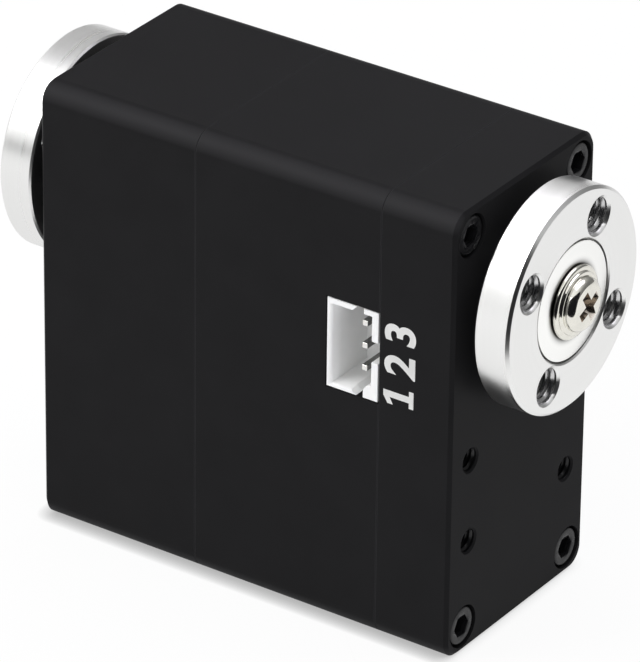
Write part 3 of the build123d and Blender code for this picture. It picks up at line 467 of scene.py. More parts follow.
class Finish(Nodes):
    """A material whose colour, gloss and relief vary a little over the surface."""

    def __init__(self, name, base, metallic=0.0, roughness=0.5):
        self.material = bpy.data.materials.new(name)
        self.material.use_nodes = True
        self.material.diffuse_color = (*base, 1)
        super().__init__(self.material.node_tree)
        self.shader = self.tree.nodes["Principled BSDF"]
        self.set(Base_Color=(*base, 1), Metallic=metallic, Roughness=roughness)
        self.height = None

    def set(self, **named):
        """Values for the shader's own inputs."""
        self.fill_named(self.shader, **named)

    def coordinates(self, scale=(1, 1, 1)):
        """Object coordinates times a scale."""
        return self.node("VectorMath", self.place(), scale, operation="MULTIPLY").outputs[0]

    def turning_coordinates(self, centre):
        """Distance from an axis along Y and place along it, for marks of a lathe."""
        parts = self.parts(self.place())
        across = self.node("CombineXYZ", parts["X"], parts["Z"]).outputs[0]
        offset = self.node("VectorMath", across, (centre.x, centre.z, 0), operation="DISTANCE")
        return self.node("CombineXYZ", offset.outputs["Value"], parts["Y"]).outputs[0]

    def noise(self, vector, scale, detail=2.0):
        """Soft random spots, as many to the metre as the scale."""
        return self.node("TexNoise", Vector=vector, Scale=scale, Detail=detail).outputs["Fac"]

    def vary_colour(self, value, dark, light):
        """A base colour that runs from one tone to another with a value."""
        self.set(Base_Color=self.blend("RGBA", value, (*dark, 1), (*light, 1)))

    def tint(self, value, light):
        """Takes the base colour towards another one by a value."""
        below = self.shader.inputs["Base Color"].links[0].from_socket
        self.set(Base_Color=self.blend("RGBA", value, below, (*light, 1)))

    def vary_roughness(self, value, low, high):
        self.set(Roughness=self.spread(value, low, high))

    def bump(self, value, depth, strength=1.0):
        """A small relief from a value. Reliefs add up in the order of the calls."""
        made = self.node("Bump", Strength=strength, Distance=depth, Height=value, Normal=self.height)
        self.height = made.outputs["Normal"]
        self.set(Normal=self.height)

    def painted_corner_highlight(self, radius):
        """1 along the middle of the case's four long rounded corners, where a highlight is painted."""
        parts = self.parts(self.place())
        half_width = (middle_high.x - middle_low.x) / 2
        half_height = (middle_high.z - middle_low.z) / 2
        across = self.math("ABSOLUTE", parts["X"])
        across = self.math("MAXIMUM", self.math("SUBTRACT", across, half_width - radius), 0.0)
        upright = self.math("SUBTRACT", parts["Z"], (middle_high.z + middle_low.z) / 2)
        upright = self.math("SUBTRACT", self.math("ABSOLUTE", upright), half_height - radius)
        product = self.math("SQRT", self.math("MULTIPLY", across, self.math("MAXIMUM", upright, 0.0)))
        return self.spread(product, 0, 1, 0.42 * radius, 0.72 * radius)

    def painted_seam_light(self, width):
        """1 on the two seams of the case, fading over a width, where light is painted over the seams' shade.
        """
        along = self.parts(self.place())["Y"]
        front = self.math("ABSOLUTE", self.math("SUBTRACT", along, middle_low.y))
        rear = self.math("ABSOLUTE", self.math("SUBTRACT", along, rear_cover_low.y))
        return self.spread(self.math("MINIMUM", front, rear), 1, 0, 0.5 * width, width)


def scaled(base, factor):
    """A colour made darker or lighter."""
    return tuple(min(1.0, part * factor) for part in base)


# Finishes


def black_anodised():
    """Satin black anodised aluminium, fine blasted, with a painted highlight along its long rounded corners
    and painted light along its seams that lightens their shade.
    """
    look = bpy.context.scene.servo_anodise
    finish = Finish("black_anodised_case", look.base, metallic=0.0, roughness=look.roughness)
    finish.set(Specular_IOR_Level=0.03)
    grain = finish.noise(finish.coordinates(), 1 / look.grain, detail=3)
    cloud = finish.noise(finish.coordinates(), 0.25 / MM, detail=2)
    finish.vary_colour(finish.spread(cloud, 0, 1), scaled(look.base, 0.94), scaled(look.base, 1.06))
    # Painted highlight on the long rounded corners, and painted light on the seams over their shade.
    finish.tint(finish.painted_corner_highlight(look.corner), scaled(look.base, look.painted_light))
    finish.tint(finish.painted_seam_light(look.painted_seam_light), scaled(look.base, look.seam_tone))
    finish.vary_roughness(cloud, look.roughness - 0.03, look.roughness + 0.03)
    finish.bump(grain, 0.004 * MM, 0.5)
    return finish.material


def turned_finish(name, base, roughness, centre=OUTPUT_AXIS):
    """Bright aluminium with the fine rings of a lathe."""
    look = bpy.context.scene.servo_horn
    finish = Finish(name, base, metallic=1.0, roughness=roughness)
    marks = finish.noise(finish.turning_coordinates(centre), 1 / look.mark_pitch, detail=3)
    bands = finish.noise(finish.turning_coordinates(centre), 0.2 / look.mark_pitch)
    finish.vary_colour(finish.spread(bands, 0, 1), scaled(base, 0.985), scaled(base, 1.01))
    finish.vary_roughness(bands, roughness - 0.02, roughness + 0.03)
    finish.bump(marks, 0.0002 * MM, 0.15)
    return finish


def plated_finish(name, base, roughness=0.14, spots=0.6 * MM):
    """Bright plating with soft uneven gloss, to which more can be added."""
    finish = Finish(name, base, metallic=1.0, roughness=roughness)
    cloud = finish.noise(finish.coordinates(), 1 / spots, detail=3)
    finish.vary_colour(finish.spread(cloud, 0, 1), scaled(base, 0.95), scaled(base, 1.03))
    finish.vary_roughness(cloud, roughness * 0.8, roughness * 1.3)
    finish.bump(cloud, 0.003 * MM, 0.3)
    return finish


def plated(*sizes):
    """Bright plating."""
    return plated_finish(*sizes).material


def machined(name, base, roughness=0.32, metallic=1.0, gloss=0.5):
    """Cut metal with fine uneven tool marks."""
    finish = Finish(name, base, metallic=metallic, roughness=roughness)
    finish.set(Specular_IOR_Level=gloss)
    marks = finish.noise(finish.coordinates((1, 9, 1)), 0.9 / MM, detail=4)
    finish.vary_colour(finish.spread(marks, 0, 1), scaled(base, 0.88), scaled(base, 1.08))
    finish.vary_roughness(marks, roughness - 0.06, roughness + 0.08)
    finish.bump(marks, 0.004 * MM, 0.4)
    return finish.material


def moulded(name, base, roughness=0.5, grain=0.15 * MM):
    """Moulded plastic with a faint grain."""
    finish = Finish(name, base, roughness=roughness)
    fine = finish.noise(finish.coordinates(), 1 / grain, detail=3)
    cloud = finish.noise(finish.coordinates(), 0.4 / MM)
    finish.vary_colour(finish.spread(cloud, 0, 1), scaled(base, 0.95), scaled(base, 1.04))
    finish.vary_roughness(fine, roughness - 0.05, roughness + 0.05)
    finish.bump(fine, 0.003 * MM, 0.5)
    return finish.material


def white_nylon():
    """White moulded nylon, slightly translucent."""
    base = (0.92, 0.92, 0.91)
    finish = Finish("white_nylon_socket", base, roughness=0.42)
    finish.set(Subsurface_Weight=0.15, Subsurface_Radius=(1, 0.95, 0.9), Subsurface_Scale=0.3 * MM)
    fine = finish.noise(finish.coordinates(), 6 / MM, detail=3)
    cloud = finish.noise(finish.coordinates(), 0.5 / MM)
    finish.vary_colour(finish.spread(cloud, 0, 1), scaled(base, 0.98), scaled(base, 1.02))
    finish.vary_roughness(fine, 0.38, 0.48)
    finish.bump(fine, 0.002 * MM, 0.5)
    return finish.material


def solder_mask():
    """Green board with faint buried tracks."""
    base = (0.012, 0.13, 0.05)
    finish = Finish("green_board", base, roughness=0.3)
    tracks = finish.node("TexBrick", Vector=finish.coordinates(), Scale=0.3 / MM, Mortar_Size=0.02)
    finish.vary_colour(tracks.outputs["Fac"], scaled(base, 0.9), scaled(base, 1.5))
    finish.bump(tracks.outputs["Fac"], 0.02 * MM, 0.4)
    return finish.material


def windings():
    """Lacquered copper wire wound along the core."""
    base = (0.62, 0.27, 0.11)
    finish = Finish("copper_windings", base, metallic=1.0, roughness=0.3)
    wires = finish.node("TexWave", Vector=finish.coordinates(), Scale=1.6 / MM, Distortion=0.6)
    finish.vary_colour(wires.outputs["Fac"], scaled(base, 0.45), base)
    finish.bump(wires.outputs["Fac"], 0.05 * MM, 0.7)
    return finish.material


def tinned_pin():
    """Tin plating, bright on the cut ends of a pin, with painted shade that darkens its sides."""
    finish = plated_finish("tinned_pins", (0.8, 0.79, 0.76), 0.2, 0.3 * MM)
    # Painted shade: the sides of a pin, away from its ends, are darkened.
    facing = finish.parts(finish.node("NewGeometry").outputs["Normal"])
    side = finish.math("SUBTRACT", 1.0, finish.math("ABSOLUTE", facing["X"]))
    finish.tint(finish.spread(side, 0, 1, 0.5, 0.9), (0.2, 0.2, 0.19))
    return finish.material


def horn_aluminium():
    """Turned aluminium of both horns."""
    look = bpy.context.scene.servo_horn
    return turned_finish("turned_horn", look.base, look.roughness).material


def washer_aluminium():
    """Brighter turned aluminium of the washers, with painted shade as a dark ring round the screw's collar.
    """
    look = bpy.context.scene.servo_horn
    finish = turned_finish("turned_washer", look.washer, look.roughness)
    collar = bpy.context.scene.servo_screw.collar_radius
    from_axis = finish.parts(finish.turning_coordinates(OUTPUT_AXIS))["X"]
    # Painted shade: the washer darkens towards the screw's collar.
    ring_share = finish.spread(from_axis, 1, 0, collar, collar + look.collar_shade_width)
    finish.tint(finish.math("POWER", ring_share, 2.4), look.collar_shade)
    return finish.material


def print_ink():
    """Matt white ink with a faint grain."""
    look = bpy.context.scene.servo_print
    return moulded("white_print", look.base, 0.6, 0.12 * MM)


FINISH_MAKERS = {
    "black_anodised": black_anodised,
    "black_steel": lambda: machined("black_steel_screws", (0.012, 0.012, 0.013), 0.28, 0.12, 0.2),
    "turned_aluminium": horn_aluminium,
    "washer": washer_aluminium,
    "nickel": lambda: plated("nickel_screws", (0.78, 0.765, 0.7), 0.11),
    "gear_steel": lambda: machined("steel_gears", (0.5, 0.5, 0.51)),
    "zinc_plate": lambda: plated("zinc_motor_can", (0.6, 0.6, 0.58), 0.28, 2 * MM),
    "black_plastic": lambda: moulded("black_end_cap", (0.02, 0.02, 0.02)),
    "magnet": lambda: machined("sintered_magnet", (0.1, 0.1, 0.105), 0.5, 0.7),
    "copper": windings,
    "brass": lambda: machined("machined_brass", (0.74, 0.52, 0.2), 0.26),
    "red_insulation": lambda: moulded("red_lead_vinyl", (0.5, 0.03, 0.02), 0.45),
    "board_green": solder_mask,
    "chip_plastic": lambda: moulded("chip_package", (0.02, 0.02, 0.022), 0.42),
    "white_nylon": white_nylon,
    "tin": tinned_pin,
    # Darker, browner nickel inside the cross recess.
    "recess": lambda: plated("worn_nickel_recess", (0.6, 0.55, 0.49), 0.16),
    "print": print_ink,
    # Darker than the case's own black: painted shade in the mounting holes.
    "case_thread": lambda: machined("painted_shade_case_thread", (0.007, 0.007, 0.008), 0.34, 0.3),
    # Darker than the turned faces: partly the duller cut metal of a thread, partly painted shade in the
    # holes.
    "cut_thread": lambda: machined("cut_thread_aluminium", (0.62, 0.62, 0.62), 0.24),
}
MADE = {}


def finish_of(slot):
    """The finish of a slot, made when it is first asked for."""
    if slot not in MADE:
        MADE[slot] = FINISH_MAKERS[slot]()
    return MADE[slot]


# Threads


def threaded_wall(bm, centre, radius, pitch, start_y, end_y, finish_number=0):
    """A hole's wall with a helical ridge, in one of the piece's finishes.
    The rows of its mesh follow the helix. Returns its first and last ring, which are plain circles."""
    look = bpy.context.scene.servo_thread
    steps = look.turn_steps
    rows = len(THREAD_PROFILE)
    travel = abs(end_y - start_y) / pitch
    inward = 1 if end_y > start_y else -1
    first = ring(bm, radius, start_y, steps, centre)
    last = ring(bm, radius, end_y, steps, centre)
    made = {}

    def vertex(step, row):
        if step == steps:
            step, row = 0, row + rows
        if (step, row) not in made:
            part, rise = THREAD_PROFILE[row % rows]
            turns = row // rows - 1 + part + step / steps
            if turns <= THREAD_END:
                made[step, row] = first[step]
            elif turns >= travel - THREAD_END:
                made[step, row] = last[step]
            else:
                fade = min(1, turns, travel - turns)
                ridge = radius - look.depth_share * pitch * rise * fade
                made[step, row] = bm.verts.new(about_axis(ridge, start_y + inward * turns * pitch,
                                                          2 * pi * step / steps, centre))
        return made[step, row]

    for step in range(steps):
        for row in range(rows * (ceil(travel) + 1)):
            corners = [vertex(step, row), vertex(step, row + 1), vertex(step + 1, row + 1),
                       vertex(step + 1, row)]
            corners = [corner for number, corner in enumerate(corners) if corner != corners[number - 1]]
            if len(set(corners)) >= 3 and len(set(corners)) == len(corners):
                bm.faces.new(corners).material_index = finish_number
    return first, last


class SERVO_OT_mount_threads(bpy.types.Operator):
    """Cut look of the M2 threads in the front cover's four mounting holes"""
    bl_idname = "servo.mount_threads"
    bl_label = "Mounting threads"

    def execute(self, context):
        look = context.scene.servo_thread
        spread = (middle_high.x - middle_low.x) / 2 - look.mount_inset
        bm = bmesh.new()
        for side in (-1, 1):
            for height in (look.mount_low, look.mount_low + look.mount_rise):
                centre = Vector((side * spread, 0, height))
                start_y = cover_low.y + look.mount_mouth
                end_y = start_y + look.mount_depth
                first, last = threaded_wall(bm, centre, look.mount_radius, look.case_pitch, start_y, end_y)
                back_first, back_last = skin(bm, [(look.mount_radius + SLEEVE, start_y),
                                                  (look.mount_radius + SLEEVE, end_y)],
                                             look.turn_steps, centre)
                bridge(bm, first, back_first)
                bridge(bm, last, back_last)
        threads = finish_mesh("mounting_threads", bm, finish_of("case_thread"))
        place(threads, "case", "black_anodised")
        return {"FINISHED"}


# Horns


def horn_hole_centres():
    """Centres of a horn's threaded holes."""
    look = bpy.context.scene.servo_horn
    return [about_axis(look.hole_circle / 2, 0, look.turn + pi / 2 * corner) for corner in range(4)]


def horn_disc(bm, face_y, back_y):
    """A disc with rounded edges and four threaded holes, from its outer face to its back.
    Returns the loops of the face and of the back, which the caller fills."""
    look = bpy.context.scene.servo_horn
    inward = 1 if back_y > face_y else -1
    edge = look.edge
    back_edge = BACK_EDGE * edge
    rim = [(HORN_RADIUS - edge, face_y), (HORN_RADIUS, face_y + inward * edge),
           (HORN_RADIUS, back_y - inward * back_edge), (HORN_RADIUS - back_edge, back_y)]
    front_loop, back_loop = skin(bm, rim, ROUND_STEPS)
    front_loops, back_loops = [front_loop], [back_loop]
    pitch = bpy.context.scene.servo_thread.horn_pitch
    steps = bpy.context.scene.servo_thread.turn_steps
    for centre in horn_hole_centres():
        start_y = face_y + inward * look.hole_mouth
        end_y = back_y - inward * look.hole_mouth
        mouth = ring(bm, look.hole_radius + look.hole_mouth, face_y, steps, centre)
        tail = ring(bm, look.hole_radius + look.hole_mouth, back_y, steps, centre)
        first, last = threaded_wall(bm, centre, look.hole_radius, pitch, start_y, end_y, 1)
        bridge(bm, mouth, first)
        bridge(bm, last, tail)
        front_loops.append(mouth)
        back_loops.append(tail)
    return front_loops, back_loops


def splined_ring(bm, radius, y):
    """A ring with the teeth of the shaft's spline."""
    look = bpy.context.scene.servo_horn
    steps = look.spline_teeth * 4
    verts = []
    for step in range(steps):
        low = step % 4 in (0, 1)
        verts.append(bm.verts.new(about_axis(radius - (look.spline_height if low else 0), y,
                                             2 * pi * step / steps)))
    return verts


class SERVO_OT_horns(bpy.types.Operator):
    """Driven horn in front and idler horn behind, with rounded edges and threaded holes"""
    bl_idname = "servo.horns"
    bl_label = "Horns"

    def execute(self, context):
        look = context.scene.servo_horn
        bm = bmesh.new()
        face_y, back_y = horn_low.y, horn_low.y + HORN_THICKNESS
        front_loops, back_loops = horn_disc(bm, face_y, back_y)
        recess_radius = (washer_high.x - washer_low.x) / 2 + look.washer_gap
        recess_face, recess_foot = skin(bm, [(recess_radius + look.recess_edge, face_y),
                                             (recess_radius, face_y + look.recess_edge),
                                             (recess_radius, washer_high.y)], ROUND_STEPS)
        fill(bm, *front_loops, recess_face)
        hub = [(look.hub_radius, back_y), (look.hub_radius, horn_high.y - look.recess_edge),
               (look.hub_radius - look.recess_edge, horn_high.y)]
        hub_root, hub_end = skin(bm, hub, ROUND_STEPS)
        fill(bm, *back_loops, hub_root)
        bore_back = splined_ring(bm, look.bore_radius, horn_high.y)
        bore_front = splined_ring(bm, look.bore_radius, washer_high.y)
        bridge(bm, bore_back, bore_front)
        fill(bm, hub_end, bore_back)
        fill(bm, recess_foot, bore_front)
        front = finish_mesh("driven_horn", bm, finish_of("turned_aluminium"))
        front.data.materials.append(finish_of("cut_thread"))
        keep_faces_flat(front)
        place(front, "output", "turned_aluminium", "output_horn")

        bm = bmesh.new()
        face_y, back_y = rear_horn_high.y, rear_horn_low.y
        front_loops, back_loops = horn_disc(bm, face_y, back_y)
        bore = look.rear_bore_radius
        bore_face, bore_foot = skin(bm, [(bore + look.recess_edge, face_y), (bore, face_y - look.recess_edge),
                                         (bore, back_y)], ROUND_STEPS)
        fill(bm, *front_loops, bore_face)
        fill(bm, *back_loops, bore_foot)
        rear = finish_mesh("idler_horn", bm, finish_of("turned_aluminium"))
        rear.data.materials.append(finish_of("cut_thread"))
        keep_faces_flat(rear)
        place(rear, "rear_horn", "turned_aluminium", "rear_horn")
        return {"FINISHED"}


class SERVO_OT_washers(bpy.types.Operator):
    """Washers under the two centre screws"""
    bl_idname = "servo.washers"
    bl_label = "Washers"

    def execute(self, context):
        edge = context.scene.servo_screw.washer_edge
        bore = context.scene.servo_screw.thread_radius * WASHER_BORE
        for name, node, body in (("horn_washer_turned", "horn_washer", "output"),
                                 ("idler_washer_turned", "rear_washer", "case")):
            low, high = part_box(node)
            radius = (high.x - low.x) / 2 - context.scene.servo_screw.washer_slack
            bm = bmesh.new()
            outside = [(radius - edge, low.y), (radius - 0.3 * edge, low.y + 0.3 * edge),
                       (radius, low.y + edge), (radius, high.y - edge),
                       (radius - 0.3 * edge, high.y - 0.3 * edge), (radius - edge, high.y)]
            first, last = skin(bm, outside, ROUND_STEPS)
            bore_first, bore_last = skin(bm, [(bore + 0.5 * edge, low.y), (bore, low.y + 0.5 * edge),
                                              (bore, high.y - 0.5 * edge), (bore + 0.5 * edge, high.y)],
                                         ROUND_STEPS)
            bridge(bm, first, bore_first)
            bridge(bm, last, bore_last)
            washer = finish_mesh(name, bm, finish_of("washer"))
            keep_faces_flat(washer)
            place(washer, body, "turned_aluminium", node)
        return {"FINISHED"}


# Screws


def cross_cutter(head_y, outward, look):
    """A tapered cross that cuts the recess of a centre screw."""
    bm = bmesh.new()
    loops = []
    for depth, half_length, half_width in (
            (-look.cross_depth * 0.4, look.cross_length * 0.6, look.cross_width * 0.58),
            (look.cross_depth * 0.45, look.cross_length * 0.42, look.cross_width * 0.45),
            (look.cross_depth, look.cross_width * 0.6, look.cross_width * 0.35)):
        loop = []
        for arm in range(4):
            heading = look.cross_turn + arm * pi / 2
            along = Vector((cos(heading), 0, sin(heading)))
            across = Vector((-sin(heading), 0, cos(heading)))
            centre = Vector((OUTPUT_AXIS.x, head_y - outward * depth, OUTPUT_AXIS.z))
            loop.append(bm.verts.new(centre + along * half_length - across * half_width))
            loop.append(bm.verts.new(centre + along * half_length + across * half_width))
            loop.append(bm.verts.new(centre + along * half_width + across * half_width))
        loops.append(loop)
    for first, second in zip(loops, loops[1:]):
        bridge(bm, first, second)
    bm.faces.new(loops[0])
    bm.faces.new(loops[-1])
    mesh = mesh_of("cross_cutter", bm)
    mesh.materials.append(finish_of("recess"))
    return new_object("cross_cutter", mesh)


def collar_screw(name, node, body, outward):
    """A pan head screw with a stepped collar, a low dome and a cross recess."""
    look = bpy.context.scene.servo_screw
    low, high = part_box(node)
    head_y, tip_y = (low.y, high.y) if outward < 0 else (high.y, low.y)
    seat_y = head_y - outward * (look.collar_height + look.head_height)
    rise = look.collar_height
    shank = look.thread_radius
    profile = [(shank * 0.7, tip_y), (shank, tip_y + outward * shank * 0.3), (shank, seat_y)]
    profile += [(look.collar_radius * out, seat_y + outward * rise * up) for out, up in COLLAR_PROFILE]
    foot_y = seat_y + outward * rise
    round_radius = look.head_round
    crown = look.head_height - round_radius - look.head_side
    flat_radius = look.head_radius - round_radius
    profile.append((look.head_radius + HEAD_FOOT, foot_y))
    profile.append((look.head_radius, foot_y + outward * HEAD_FOOT))
    for step in range(DOME_STEPS):
        lean = DOME_LEAN * step / (DOME_STEPS - 1)
        profile.append((flat_radius + round_radius * cos(lean),
                        foot_y + outward * (look.head_side + round_radius * sin(lean))))
    for out in CROWN_SHARES:
        profile.append((flat_radius * out, head_y - outward * crown * out ** 2))
    bm = bmesh.new()
    tip_ring, top_ring = skin(bm, profile, ROUND_STEPS)
    bm.faces.new(tip_ring)
    bm.faces.new(top_ring)
    screw = finish_mesh(name, bm, finish_of("nickel"), radians(50))
    cutter = cross_cutter(head_y, outward, look)
    modify(screw, "cross_recess", "BOOLEAN", operation="DIFFERENCE", solver="EXACT",
           material_mode="TRANSFER", object=cutter)
    bake_modifiers(screw)
    bpy.data.objects.remove(cutter)
    modify(screw, "soft_recess", "BEVEL", width=RECESS_EDGE, segments=2, limit_method="ANGLE",
           angle_limit=radians(40))
    place(screw, body, "nickel", node)


class SERVO_OT_centre_screws(bpy.types.Operator):
    """Centre screws of both horns"""
    bl_idname = "servo.centre_screws"
    bl_label = "Centre screws"

    def execute(self, context):
        collar_screw("driven_horn_screw", "horn_screw", "output", -1)
        collar_screw("idler_horn_screw", "rear_screw", "case", 1)
        return {"FINISHED"}


def hexagon(bm, across_flats, y, centre):
    """Six corners of a hex socket."""
    corner = across_flats / 2 / cos(pi / 6)
    return [bm.verts.new(about_axis(corner, y, pi / 6 + pi / 3 * side, centre)) for side in range(6)]


class SERVO_OT_case_screws(bpy.types.Operator):
    """The four long case screws with knurled socket heads"""
    bl_idname = "servo.case_screws"
    bl_label = "Case screws"

    def execute(self, context):
        look = context.scene.servo_screw
        low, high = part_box("case_screws")
        bm = bmesh.new()
        for x in (low.x + look.cap_radius, high.x - look.cap_radius):
            for z in (low.z + look.cap_radius, high.z - look.cap_radius):
                centre = Vector((x, 0, z))
                top_y = low.y
                seat_y = top_y + look.cap_height
                edge = look.cap_edge
                head = [(look.cap_radius - edge, top_y), (look.cap_radius - 0.45 * edge, top_y + 0.12 * edge),
                        (look.cap_radius - 0.12 * edge, top_y + 0.45 * edge),
                        (look.cap_radius, top_y + edge)]
                face, shoulder = skin(bm, head, KNURLS * 2, centre)
                knurled = []
                for y in (top_y + 1.5 * edge, seat_y - edge):
                    knurled.append([bm.verts.new(about_axis(look.cap_radius - (step % 2) * look.knurl, y,
                                                            2 * pi * step / (KNURLS * 2), centre))
                                    for step in range(KNURLS * 2)])
                bridge(bm, shoulder, knurled[0])
                bridge(bm, knurled[0], knurled[1])
                seat, tip = skin(bm, [(look.cap_radius - 0.3 * edge, seat_y), (look.shank_radius, seat_y),
                                      (look.shank_radius, high.y - 0.3 * look.shank_radius),
                                      (0.7 * look.shank_radius, high.y)], KNURLS * 2, centre)
                bridge(bm, knurled[1], seat)
                bm.faces.new(tip)
                mouth = ring(bm, look.socket_mouth, top_y, MOUTH_STEPS, centre)
                fill(bm, face, mouth)
                socket_top = hexagon(bm, look.socket_flats, top_y + HEX_DROP, centre)
                fill(bm, mouth, socket_top)
                socket_foot = hexagon(bm, look.socket_flats, top_y + look.socket_depth, centre)
                bridge(bm, socket_top, socket_foot)
                drill = bm.verts.new((centre.x, top_y + look.socket_depth * DRILL_TIP, centre.z))
                for start, end in zip(socket_foot, socket_foot[1:] + socket_foot[:1]):
                    bm.faces.new((start, end, drill))
        screws = finish_mesh("case_screws_socket_head", bm, finish_of("black_steel"))
        keep_faces_flat(screws)
        place(screws, "case", "black_steel", "case_screws")
        return {"FINISHED"}


# Sockets


def prism(bm, bevels, outline, near_x, far_x, lip=0.0, lips=()):
    """A solid from an outline of (y, z, softness of the next edge at the mouth).
    lips are (number of a point, its move in y, its move in z) at the mouth, which a slope of the
    length lip brings back to the outline."""
    moved = {number: (y, z) for number, y, z in lips}
    loops = []
    for x, share_moved in ((near_x, 1), (near_x + lip, 0), (far_x, 0)) if lips else ((near_x, 0), (far_x, 0)):
        loop = []
        for number, (y, z, soft) in enumerate(outline):
            step_y, step_z = moved.get(number, (0, 0))
            loop.append(bm.verts.new((x, y + share_moved * step_y, z + share_moved * step_z)))
        loops.append(loop)
    bm.faces.new(loops[0])
    bm.faces.new(loops[-1])
    for first, second in zip(loops, loops[1:]):
        bridge(bm, first, second)
        for number, (y, z, soft) in enumerate(outline):
            bm.edges.get((first[number], second[number]))[bevels] = min(soft, SMALL_EDGE)
            bm.edges.get((first[number], first[(number + 1) % len(first)]))[bevels] = soft


def socket_body(name, node, mirrored):
    """A socket with rounded walls, a keyway, two notched ends and a rounded foot."""
    look = bpy.context.scene.servo_socket
    low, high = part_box(node)
    mouth_x, back_x = low.x, high.x
    if mirrored:
        mouth_x, back_x = -high.x, -low.x
    front_y, rear_y, low_z, high_z = low.y, high.y - look.rear_gap, low.z, high.z
    wall, end_wall = look.wall, look.end_wall
    notch_y = front_y + look.foot_length
    floor_x = back_x - look.floor
    key_low = (low_z + high_z) / 2 + look.key_offset - look.key_width / 2
    key_high = key_low + look.key_width
    foot_top = low_z + look.foot_height
    inner, outer = 1.0, SMALL_EDGE
    bm = bmesh.new()
    bevels = bm.edges.layers.float.new("bevel_weight_edge")
    main = [
        (notch_y + look.notch, high_z, outer), (rear_y, high_z, outer), (rear_y, low_z, outer),
        (notch_y + look.notch, low_z, outer), (notch_y + look.notch + look.flare, low_z + end_wall, inner),
        (rear_y - wall, low_z + end_wall, inner), (rear_y - wall, high_z - end_wall, outer),
        (notch_y + look.notch + look.flare, high_z - end_wall, outer),
    ]
    lips = [(4, 0, -look.lip_rise), (5, look.lip_rise, -look.lip_rise), (6, look.lip_rise, 0)]
    prism(bm, bevels, main, mouth_x, floor_x, look.lip_depth, lips)
    upper = [
        (front_y, high_z, outer), (notch_y, high_z, outer), (notch_y, high_z - end_wall, outer),
        (front_y + wall, high_z - end_wall, outer), (front_y + wall, key_high, outer),
        (front_y, key_high, outer),
    ]
    prism(bm, bevels, upper, mouth_x, floor_x)
    lower = [(front_y, key_low, outer), (front_y + wall, key_low, outer)]
    for step in range(FOOT_STEPS + 1):
        lean = pi / 2 * step / FOOT_STEPS
        lower.append((notch_y - look.foot_radius + look.foot_radius * sin(lean),
                      foot_top - look.foot_radius + look.foot_radius * cos(lean), outer))
    lower += [(notch_y, low_z, outer), (front_y, low_z, outer)]
    prism(bm, bevels, lower, mouth_x, floor_x)
    inset = look.inset
    blocks = [
        (front_y + inset, front_y + wall - inset, key_low - wall, key_high + wall, look.key_end),
        (front_y + wall / 2, notch_y + 2 * wall, low_z + inset, low_z + end_wall - inset, look.notch_end),
        (front_y + wall / 2, notch_y + 2 * wall, high_z - end_wall + inset, high_z - inset, look.notch_end),
    ]
    for start_y, end_y, start_z, end_z, reach in blocks:
        corners = [(start_y, start_z, 0), (start_y, end_z, 0), (end_y, end_z, 0), (end_y, start_z, 0)]
        prism(bm, bevels, corners, back_x - reach, floor_x + inset)
    plate = [(front_y, low_z, 0), (front_y, high_z, 0), (rear_y, high_z, 0), (rear_y, low_z, 0)]
    prism(bm, bevels, plate, floor_x, back_x)
    if mirrored:
        turn = Matrix.Translation((0, 0, low_z + high_z)) @ Matrix.Diagonal((-1, 1, -1, 1))
        bm.transform(turn)
    piece = finish_mesh(name, bm, finish_of("white_nylon"))
    modify(piece, "rounded", "BEVEL", width=look.wall_edge, segments=4, limit_method="WEIGHT",
           harden_normals=True)
    place(piece, "case", "white_nylon", node)


class SERVO_OT_sockets(bpy.types.Operator):
    """The two moulded sockets with rounded walls"""
    bl_idname = "servo.sockets"
    bl_label = "Sockets"

    def execute(self, context):
        socket_body("left_socket_moulded", "left_socket", False)
        socket_body("right_socket_moulded", "right_socket", True)
        return {"FINISHED"}


# Print


def font_number(letter, look):
    """The mesh of a number in Blender's own font, lying flat with its baseline on X."""
    line = bpy.data.curves.new("number", "FONT")
    line.body = letter
    line.align_x = "CENTER"
    line.size = look.height / CAP_SHARE
    line.offset = look.boldness
    line.extrude = INK / 2
    line.resolution_u = 8
    source = bpy.data.objects.new("number", line)
    mesh = bpy.data.meshes.new_from_object(source)
    bpy.data.objects.remove(source)
    return mesh


def flagged_one(look):
    """The mesh of a 1 with a flag and a foot, lying flat with its baseline on X."""
    bm = bmesh.new()
    loops = [[bm.verts.new((x * look.height, y * look.height, z)) for x, y in ONE_OUTLINE]
             for z in (-INK / 2, INK / 2)]
    bridge(bm, *loops)
    for loop in loops:
        fill(bm, loop)
    return mesh_of("number", bm)


class SERVO_OT_numbers(bpy.types.Operator):
    """Printed pin numbers beside the left socket, read upwards"""
    bl_idname = "servo.numbers"
    bl_label = "Numbers"

    def execute(self, context):
        look = context.scene.servo_print
        middle_z = (socket_low.z + socket_high.z) / 2
        baseline_y = middle_low.y - look.seam_gap - look.height
        for step, letter in enumerate(look.letters):
            mesh = flagged_one(look) if letter == "1" else font_number(letter, look)
            z = middle_z + look.spacing * (step - (len(look.letters) - 1) / 2)
            upright = Matrix(((0, 0, -1, cover_low.x), (0, 1, 0, baseline_y), (1, 0, 0, z), (0, 0, 0, 1)))
            mesh.transform(upright)
            mesh.materials.clear()
            mesh.materials.append(finish_of("print"))
            place(new_object("pin_number_" + letter, mesh), "case", "white_nylon")
        return {"FINISHED"}


# Finishes of the frame


class SERVO_OT_finishes(bpy.types.Operator):
    """Give every CAD node the finish of its material slot"""
    bl_idname = "servo.finishes"
    bl_label = "Finishes"

    def execute(self, context):
        slots = {part["node"]: part["material_slot"] for part in frame["record"]["subparts"]}
        for node, piece in frame["nodes"].items():
            piece.data.materials.clear()
            piece.data.materials.append(finish_of(slots[node]))
        return {"FINISHED"}


